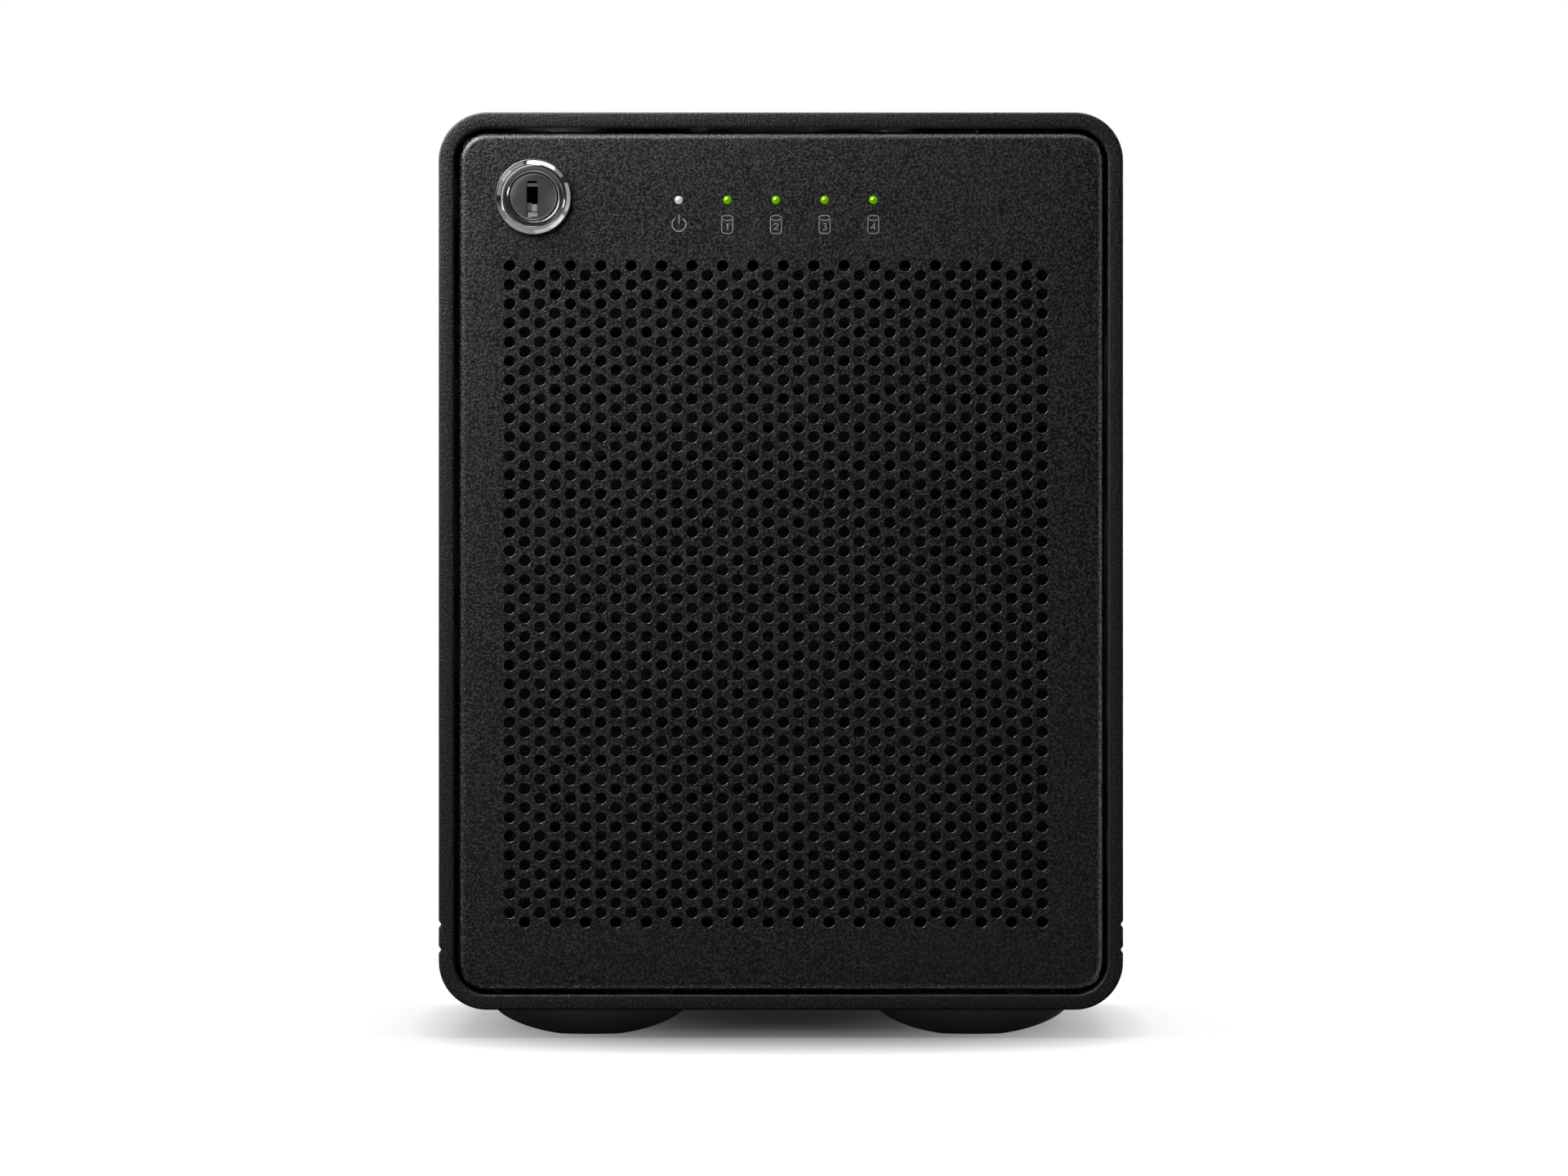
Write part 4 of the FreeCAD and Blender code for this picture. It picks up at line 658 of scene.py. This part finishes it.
LAMP_FLANGE = 1.8
power_lamp = middle_mm("power_light_pipe")
lamp_z = power_lamp.z
lamp_step = (box_mm("drive_light_pipes")[1].x - LAMP_FLANGE - power_lamp.x) / 4
lamp_xs = [power_lamp.x + lamp_step * i for i in range(5)]
lock_centre = middle_mm("lock_barrel")
lock_x, lock_z = lock_centre.x, lock_centre.z
door_front = box_mm("front_door_panel")[0].y
lock_nose = box_mm("lock_barrel")[0].y


# ---------------------------------------------------------------- lock


def lock_bezel():
    """Chrome bezel: outer bevel, narrow crest and a dished inner ring, and the barrel behind."""
    nose = lock_nose
    base = door_front
    end = box_mm("lock_barrel")[1].y
    profile = [(4.9, nose + 0.75), (4.96, nose + 0.58), (5.05, nose + 0.52)]
    profile += [(5.72, nose + 0.44), (5.84, nose + 0.4), (5.9, nose + 0.1)]
    profile += [(5.95, nose + 0.02), (6.02, nose), (6.1, nose + 0.02), (6.3, nose + 0.1)]
    profile += [(7.32, nose + 0.87), (7.43, nose + 0.99), (7.5, nose + 1.2), (7.5, base)]
    profile += [(5.9, base), (5.9, end), (4.75, end), (4.75, nose + 2.2), (4.9, nose + 2.0)]
    shape = Shape()
    shape.lathe((lock_x, 0, lock_z), profile, steps=112)
    return shape.piece(
        "lock_bezel", "front_door", [MATERIALS["chrome"]], ["lock_barrel"], 28
    )


PLUG_RECESS = 0.8
PLUG_RADIUS = 4.7
KEYWAY_X = (-1.24, 0.79)
KEYWAY_Z = (-3.95, 3.05)


def lock_core():
    """Turning plug with an eased rim and keyway, and a square tail."""
    face = lock_nose + PLUG_RECESS
    end = box_mm("lock_plug")[1].y
    shape = Shape()
    centre = (lock_x, 0, lock_z)
    radius = PLUG_RADIUS
    rim = [(radius - 0.3, face), (radius - 0.26, face + 0.02), (radius - 0.04, face + 0.22)]
    rim += [(radius, face + 0.3), (radius, end - 2.1)]
    loops = shape.lathe(centre, rim, steps=96, ring=False)
    tail = [(radius, end - 2.1), (2.9, end - 2.1), (2.9, end), (0.0, end)]
    shape.lathe(centre, tail, steps=96, ring=False)
    key_x = (lock_x + KEYWAY_X[0], lock_x + KEYWAY_X[1])
    key_z = (lock_z + KEYWAY_Z[0], lock_z + KEYWAY_Z[1])
    ease = 0.1
    mouth_x = (key_x[0] - ease, key_x[1] + ease)
    mouth_z = (key_z[0] - ease, key_z[1] + ease)
    mouth = rounded_outline(mouth_x, mouth_z, 0.32, 5)
    throat = rounded_outline(key_x, key_z, 0.22, 5)
    rings = [shape.add(inset(mouth, 0, face)), shape.add(inset(throat, 0, face + 0.14))]
    rings.append(shape.add(inset(throat, 0, face + 7)))
    shape.bridge(rings[0], rings[1], slot=1)
    # the keyway's walls and its floor take the near-black painted shade
    shape.bridge(rings[1], rings[2], slot=2)
    shape.fill(loops[0], [rings[0]])
    shape.fill(rings[2], slot=2)
    return shape.piece(
        "lock_plug_core",
        "door_lock",
        [MATERIALS["plug_metal"], MATERIALS["chrome"], KEYWAY_PAINTED_SHADE],
        ["lock_plug"],
        28,
    )


def lock_wafers():
    """Spring wafers seen in the keyway: a lip above the gap and a stepped pair below it."""
    face = lock_nose + PLUG_RECESS
    left, right = lock_x + KEYWAY_X[0], lock_x + KEYWAY_X[1]
    low, high = lock_z + KEYWAY_Z[0], lock_z + KEYWAY_Z[1]
    shape = Shape()
    shape.wedge((left, right), (high - 1.0, high - 0.35), face + 0.5, 0.1)
    shape.wedge((left + 0.15, right), (low + 0.05, low + 0.95), face + 0.3, 0.32)
    shape.wedge((left + 0.95, right), (low + 1.1, low + 2.5), face + 0.4, 0.5)
    shape.wedge((left, left + 0.9), (low + 1.2, low + 2.75), face + 0.7, 0.1)
    return shape.piece("lock_wafers", "door_lock", [WAFER])


# ---------------------------------------------------------------- lamps and icons


LAMP_RADIUS = 0.6


def lamp(shape, x):
    """A domed lens on a stem that starts at the light board."""
    back = box_mm("power_light_pipe")[1].y
    r = LAMP_RADIUS
    dome = [(r * math.sin(a), door_front + 0.3 - 0.5 * math.cos(a)) for a in quarter(7)]
    stem = [(r, back - 2.5), (LAMP_FLANGE, back - 2.4), (LAMP_FLANGE, back), (0.0, back)]
    shape.lathe((x, 0, lamp_z), dome + stem, steps=28, ring=False)


def quarter(steps):
    """Angles from 0 to a right angle."""
    return [math.pi / 2 * i / steps for i in range(steps + 1)]


def lamps():
    """One white power lamp and four green drive lamps."""
    groups = (
        ("power_lamp", lamp_xs[:1], "clear_pipe_white", "power_light_pipe"),
        ("drive_lamps", lamp_xs[1:], "clear_pipe_green", "drive_light_pipes"),
    )
    for name, places, slot, node in groups:
        shape = Shape()
        for x in places:
            lamp(shape, x)
        shape.piece(name, "chassis", [MATERIALS[slot]], [node], 50)


INK = 0.03
STROKE = 0.2
DRIVE_STROKE = 0.16


def stroke(shape, points, closed=False, width=STROKE):
    """A printed line of even width through (x, z) points."""
    spots = [Vector(p) for p in points]
    count = len(spots)
    sides = []
    for i, spot in enumerate(spots):
        before = spots[i - 1] if i or closed else spot
        after = spots[(i + 1) % count] if i < count - 1 or closed else spot
        way = (after - before).normalized()
        if before != spot and after != spot:
            bend = max(0.5, (spot - before).normalized().dot(way))
        else:
            bend = 1.0
        across = Vector((-way.y, way.x)) * (width / 2 / bend)
        sides.append((spot + across, spot - across))
    y = (door_front + 0.01, door_front - INK)
    rows = []
    for depth in y:
        rows.append(shape.add([(a.x, depth, a.y) for a, _ in sides]))
        rows.append(shape.add([(b.x, depth, b.y) for _, b in sides]))
    for first, second in ((0, 1), (1, 3), (3, 2), (2, 0)):
        shape.bridge(rows[first], rows[second], closed=closed)
    if not closed:
        for end in (0, -1):
            shape.face((rows[0][end], rows[1][end], rows[3][end], rows[2][end]))


NUMERALS = {
    1: [[(-0.28, 0.34), (0.08, 0.62), (0.08, -0.62)]],
    2: [[*arc((0.0, 0.24), 0.38, 170, -30, 8), (-0.4, -0.62), (0.42, -0.62)]],
    3: [[*arc((0.0, 0.3), 0.34, 150, -90, 8), *arc((0.0, -0.3), 0.36, 90, -150, 8)]],
    4: [[(0.2, -0.62), (0.2, 0.62), (-0.42, -0.24), (0.45, -0.24)]],
}


def icons():
    """Power sign and four numbered drive signs, printed under the lamps."""
    shape = Shape()
    z = lamp_z - 4.85
    x = lamp_xs[0] + 0.1
    stroke(shape, arc((x, z), 1.38, 124, 416, 30))
    stroke(shape, [(x, z + 0.15), (x, z + 1.85)])
    wide, shoulder, turn, bow = 1.08, 1.28, 0.6, 0.5
    for number, x in enumerate(lamp_xs[1:], start=1):
        top = [(x + wide * math.cos(a), z + shoulder + bow * math.sin(a)) for a in full_turn(24)]
        stroke(shape, top, closed=True, width=DRIVE_STROKE)
        floor = z - 1.8
        side = [(x - wide, z + shoulder), *arc((x - wide + turn, floor + turn), turn, 180, 270, 6)]
        other = [*arc((x + wide - turn, floor + turn), turn, 270, 360, 6), (x + wide, z + shoulder)]
        stroke(shape, [*side, *other], width=DRIVE_STROKE)
        for line in NUMERALS[number]:
            stroke(shape, [(x + px, z - 0.45 + pz) for px, pz in line], width=DRIVE_STROKE)
    return shape.piece("icon_print", "front_door", [PRINT])


# ---------------------------------------------------------------- feet

FOOT_X = 38
FOOT_Y = 88
FOOT_RADIUS = 18.9


def rubber_feet():
    """Broad domed feet with a turned-in top edge, a tread ring and a screw well."""
    shape = Shape()
    top = box_mm("rubber_feet")[1].z
    edge = FOOT_RADIUS
    profile = [(1.7, top), (edge - 0.4, top), (edge - 0.05, top - 0.12), (edge, top - 0.4)]
    steps = 22
    for i in range(1, steps + 1):
        r = edge - 12.6 * (i / steps) ** 1.4
        z = top - 5.95 * (1 - (r / (edge + 0.1)) ** 2) ** 0.68
        profile.append((r, max(0.0, z)))
    profile += [(5.6, 0.0), (5.45, 0.25), (4.9, 0.25), (4.75, 0.0)]
    profile += [(3.4, 0.0), (3.2, 0.2), (3.2, 2.6), (1.7, 2.6)]
    for x in (-FOOT_X, FOOT_X):
        for y in (-FOOT_Y, FOOT_Y):
            shape.lathe((x, y, 0), profile, axis="z", steps=72)
    return shape.piece(
        "rubber_foot_set", "chassis", [MATERIALS["foot_rubber"]], ["rubber_feet"], 40
    )


# ---------------------------------------------------------------- CAD nodes that stay

SOFT_EDGES = {
    "left_bay_wall": 0.15,
    "right_bay_wall": 0.15,
    "board_shelf": 0.15,
    "bay_base": 0.15,
    "mains_inlet": 0.35,
    "switch_housing": 0.3,
    "switch_rocker": 0.45,
    "ethernet_jacks": 0.2,
    "usb_sockets": 0.2,
    "rear_screws": 0.3,
    "foot_screws": 0.2,
    "fan_frame": 0.3,
    "fan_rotor": 0.2,
    "lock_nut": 0.3,
    "lock_cam": 0.25,
    "lock_cam_screw": 0.3,
    "door_catch_grommets": 0.3,
    "led_board": 0.1,
    "main_board": 0.1,
    "chassis_screws": 0.3,
    "memory_module": 0.1,
    "soldered_parts": 0.15,
    "cpu_heatsink": 0.12,
    "power_supply_case": 0.2,
    "tray_guides": 0.2,
    "inlet_pins": 0.3,
    "sata_sockets": 0.15,
    "backplane_board": 0.1,
}
for bay in BAYS:
    SOFT_EDGES[f"drive_tray_{bay}"] = 0.2
    SOFT_EDGES[f"hard_drive_{bay}"] = 0.5
    SOFT_EDGES[f"tray_thumbscrew_{bay}"] = 0.1
    SOFT_EDGES[f"drive_screws_{bay}"] = 0.2


# ---------------------------------------------------------------- studio

# half lengths, in metres, of the shadow painted on the floor round the object
PAINTED_SHADOW_X = 0.062
PAINTED_SHADOW_Y = 0.190
# light from all round: on matt surfaces, and in mirrors
FILL = 0.075
ROOM = 0.03


def area_light(name, place, target, size, power):
    """A soft box at a place, turned to a target, both in metres; the camera doesn't see it."""
    data = bpy.data.lights.new(name, "AREA")
    data.shape = "RECTANGLE"
    data.size, data.size_y = size
    data.energy = power
    lamp_object = bpy.data.objects.new(name, data)
    bpy.context.scene.collection.objects.link(lamp_object)
    lamp_object.location = place
    lamp_object.visible_camera = False
    way = Vector(target) - Vector(place)
    lamp_object.rotation_euler = way.to_track_quat("-Z", "Y").to_euler()
    return lamp_object


def floor_with_painted_shadow():
    """White paper with a soft shadow painted round the object, plain white light a hand's breadth
    away.

    Bounced light sees the paper dimmer than the camera does, as if black flags stood round it.
    """
    n = Nodes("floor_with_painted_shadow")
    camera_ray = n.new("ShaderNodeLightPath").outputs["Is Camera Ray"]
    spot = n.new("ShaderNodeSeparateXYZ")
    n.join(n.place, spot.inputs["Vector"])
    near_edge = n.remap(spot.outputs["Y"], -0.12, -0.14, 0, 1)
    far_edge = n.remap(spot.outputs["Y"], -0.36, -0.30, 0, 1)
    apron = n.math("MULTIPLY", far_edge, near_edge)
    bounced = n.blend(apron, (0.12, 0.12, 0.12), (0.3, 0.3, 0.3))
    n.set(Base_Color=n.blend(camera_ray, bounced, (0.95, 0.95, 0.95)), Roughness=0.9)
    # painted shadow: for the camera the paper glows, dark near the object and white further out
    shares = [
        n.math("POWER", n.math("ABSOLUTE", n.math("DIVIDE", spot.outputs[axis], reach), 0.0), 3.0)
        for axis, reach in (("X", PAINTED_SHADOW_X), ("Y", PAINTED_SHADOW_Y))
    ]
    radius = n.math("POWER", n.math("ADD", *shares), 1 / 3)
    shade = n.math("ADD", n.math("POWER", n.math("DIVIDE", radius, 1.2), 2.5), 0.045)
    # painted shadow, darker still under the middle of the body, ending behind it
    middle = n.remap(n.math("ABSOLUTE", spot.outputs["X"], 0.0), 0.058, 0.045, 0, 1)
    deepest = n.remap(spot.outputs["Y"], -0.08, 0.08, 0, 0.78)
    under = n.remap(spot.outputs["Y"], 0.12, 0.10, 0, 1)
    deep = n.math("SUBTRACT", 1.0, n.math("MULTIPLY", n.math("MULTIPLY", middle, deepest), under))
    glow = n.new("ShaderNodeEmission")
    n.join(n.math("MINIMUM", n.math("MULTIPLY", shade, deep), 1.08), glow.inputs["Strength"])
    # near the object some of the really lit paper shows through the painted shadow
    near = n.remap(radius, 1.15, 1.35, 0.72, 0.86)
    share = n.math("ADD", near, n.remap(radius, 3.0, 5.0, 0, 0.14))
    shown = n.new("ShaderNodeMixShader")
    n.join(n.math("MULTIPLY", share, camera_ray), shown.inputs["Fac"])
    n.join(n.shader.outputs["BSDF"], shown.inputs[1])
    n.join(glow.outputs["Emission"], shown.inputs[2])
    n.join(shown.outputs["Shader"], n.tree.nodes["Material Output"].inputs["Surface"])
    return n.material


def daylight():
    """Plain white behind everything, an even dim fill, and a dark room in reflections."""
    world = bpy.data.worlds.new("studio")
    world.use_nodes = True
    bpy.context.scene.world = world
    tree = world.node_tree
    seen = tree.nodes.new("ShaderNodeLightPath")
    glow = tree.nodes["Background"]
    level = None
    strengths = {"Is Camera Ray": 1.0, "Is Diffuse Ray": FILL, "Is Glossy Ray": ROOM}
    for output, strength in strengths.items():
        part = tree.nodes.new("ShaderNodeMath")
        part.operation = "MULTIPLY"
        part.inputs[1].default_value = strength
        tree.links.new(seen.outputs[output], part.inputs[0])
        if level is None:
            level = part
            continue
        total = tree.nodes.new("ShaderNodeMath")
        tree.links.new(level.outputs[0], total.inputs[0])
        tree.links.new(part.outputs[0], total.inputs[1])
        level = total
    tree.links.new(level.outputs[0], glow.inputs["Strength"])
    glow.inputs["Color"].default_value = (1, 1, 1, 1)


def light_all_but(name, spared, lights):
    """Keeps some objects out of some lights."""
    group = bpy.data.collections.new(name)
    for obj in spared:
        group.objects.link(obj)
    for entry in group.collection_objects:
        entry.light_linking.link_state = "EXCLUDE"
    for light in lights:
        light.light_linking.receiver_collection = group


def light_only(name, lit, lights, through=False):
    """Keeps some lights for some objects alone. With through, no other object shades them."""
    group = bpy.data.collections.new(name)
    for obj in lit:
        group.objects.link(obj)
    for light in lights:
        light.light_linking.receiver_collection = group
        if through:
            light.light_linking.blocker_collection = group


# (clock angle, angle covered, tilt from the front, distance in m, radiance) of the cards
# that the lock's bevel, crest and face mirror
LOCK_CARDS = (
    (12, 46, 74, 0.40, 2.2),
    (44, 18, 74, 0.40, 0.30),
    (89, 48, 74, 0.40, 0.42),
    (136, 30, 74, 0.13, 0.78),
    (165, 28, 74, 0.13, 0.45),
    (206, 54, 74, 0.13, 0.14),
    (286, 24, 74, 0.40, 0.30),
    (308, 20, 74, 0.40, 0.62),
    (330, 26, 74, 0.40, 0.34),
    (307, 124, 44, 0.30, 1.2),
    (190, 108, 44, 0.13, 0.3),
    (101, 15, 44, 0.30, 2.5),
)
FRONT_CARD = 0.045


def lock_cards():
    """Small reflector cards round the lock, seen by it alone."""
    cards = []
    centre = Vector((lock_x, lock_nose, lock_z)) * MM
    for i, (clock, cover, tilt, distance, radiance) in enumerate(LOCK_CARDS):
        clock, tilt = math.radians(clock), math.radians(tilt)
        out = Vector((math.sin(clock), 0, math.cos(clock))) * math.sin(tilt)
        way = out + Vector((0, -math.cos(tilt), 0))
        wide = 2 * distance * math.sin(tilt) * math.tan(math.radians(cover / 2))
        tall = distance * 0.30
        card = area_light(f"card{i}", centre + way * distance, centre, (wide, tall), 1)
        card.data.energy = radiance * math.pi * wide * tall
        across = Vector((math.cos(clock), 0, -math.sin(clock)))
        up = (-way).cross(across)
        card.rotation_euler = Matrix((across, -up, way)).transposed().to_euler()
        cards.append(card)
    side = 0.5
    front = area_light("front_card", centre + Vector((0, -0.6, 0)), centre, (side, side), 1)
    front.data.energy = FRONT_CARD * math.pi * side * side
    return [*cards, front]


# (position, size, power) of the strips that trim the door's rolled edge with light
DOOR_STRIPS = (
    ((0.0, 0.04, 0.66), (0.8, 0.12), 12.0),
    ((0.0, 0.00, -0.40), (0.8, 0.12), 10.0),
    ((-0.50, 0.00, 0.094), (0.12, 0.8), 3.0),
    ((0.50, 0.00, 0.094), (0.12, 0.8), 14.0),
)


def door_strips():
    """One long strip off each side of the door, a little behind its face."""
    middle = (0, -0.12, 0.094)
    return [
        area_light(f"door_strip_{i}", place, middle, size, power)
        for i, (place, size, power) in enumerate(DOOR_STRIPS)
    ]


def follow_door(lights):
    """Moves lights with the door, so that it looks the same wherever it is."""
    for light in lights:
        light.parent = frame["bodies"]["front_door"]


def studio():
    """Pale floor and soft boxes: overhead, upper left, both sides, behind and low in front."""
    scene = bpy.context.scene
    reach = 6.0
    mesh = bpy.data.meshes.new("floor")
    mesh.from_pydata(
        [(-reach, -reach, 0), (reach, -reach, 0), (reach, reach, 0), (-reach, reach, 0)],
        [],
        [(0, 1, 2, 3)],
    )
    mesh.materials.append(floor_with_painted_shadow())
    floor = bpy.data.objects.new("floor", mesh)
    scene.collection.objects.link(floor)
    daylight()
    overhead = area_light("overhead", (0.0, 0.12, 1.3), (0.0, 0.12, 0), (1.2, 1.2), 18)
    key = area_light("upper_left", (-0.20, -0.25, 0.36), (0, -0.12, 0.12), (0.28, 0.28), 4.1)
    left = area_light("left", (-1.05, -0.25, 0.6), (0, -0.1, 0.3), (0.5, 1.2), 3.2)
    right = area_light("right", (1.1, 0.35, 0.45), (0, 0.0, 0.1), (0.8, 0.8), 7.0)
    behind = area_light("behind", (0.3, 1.5, 0.09), (0, 0.1, 0.09), (1.4, 0.16), 16)
    low = area_light("low", (0, -0.62, -0.08), (0, -0.1, 0.0), (0.7, 0.08), 0.45)
    light_all_but("not_the_lock", lock_pieces, [overhead])
    light_all_but("not_lock_nor_floor", [floor, *lock_pieces], [key, left, right, behind])
    cards = lock_cards()
    strips = door_strips()
    light_only("lock_only", lock_pieces, cards)
    light_only("feet_only", [feet], [low], through=True)
    light_only("door_edges", [door], strips, through=True)
    follow_door([key, *cards, *strips])
    scene.view_settings.view_transform = "Standard"


# the view's width at the front face, and the camera's distance from it
VIEW_WIDTH_MM = 309.2
CAMERA_DISTANCE_MM = 3000.0
CAMERA_X_MM = 0.6
CAMERA_Z_MM = 88.7
SENSOR_MM = 36.0


def camera():
    """Level, square on, far enough that no side shows."""
    data = bpy.data.cameras.new("camera")
    data.sensor_width = SENSOR_MM
    data.lens = SENSOR_MM * CAMERA_DISTANCE_MM / VIEW_WIDTH_MM
    data.clip_end = 50
    obj = bpy.data.objects.new("camera", data)
    bpy.context.scene.collection.objects.link(obj)
    front = box_mm("outer_case")[0].y
    obj.location = Vector((CAMERA_X_MM, front - CAMERA_DISTANCE_MM, CAMERA_Z_MM)) * MM
    obj.rotation_euler = (math.radians(90), 0, 0)
    bpy.context.scene.camera = obj


# ---------------------------------------------------------------- build

outer_case()
door = front_door()
lock_pieces = [lock_bezel(), lock_core(), lock_wafers()]
lamps()
icons()
feet = rubber_feet()
for node, width in SOFT_EDGES.items():
    soften(node, width)
studio()
camera()
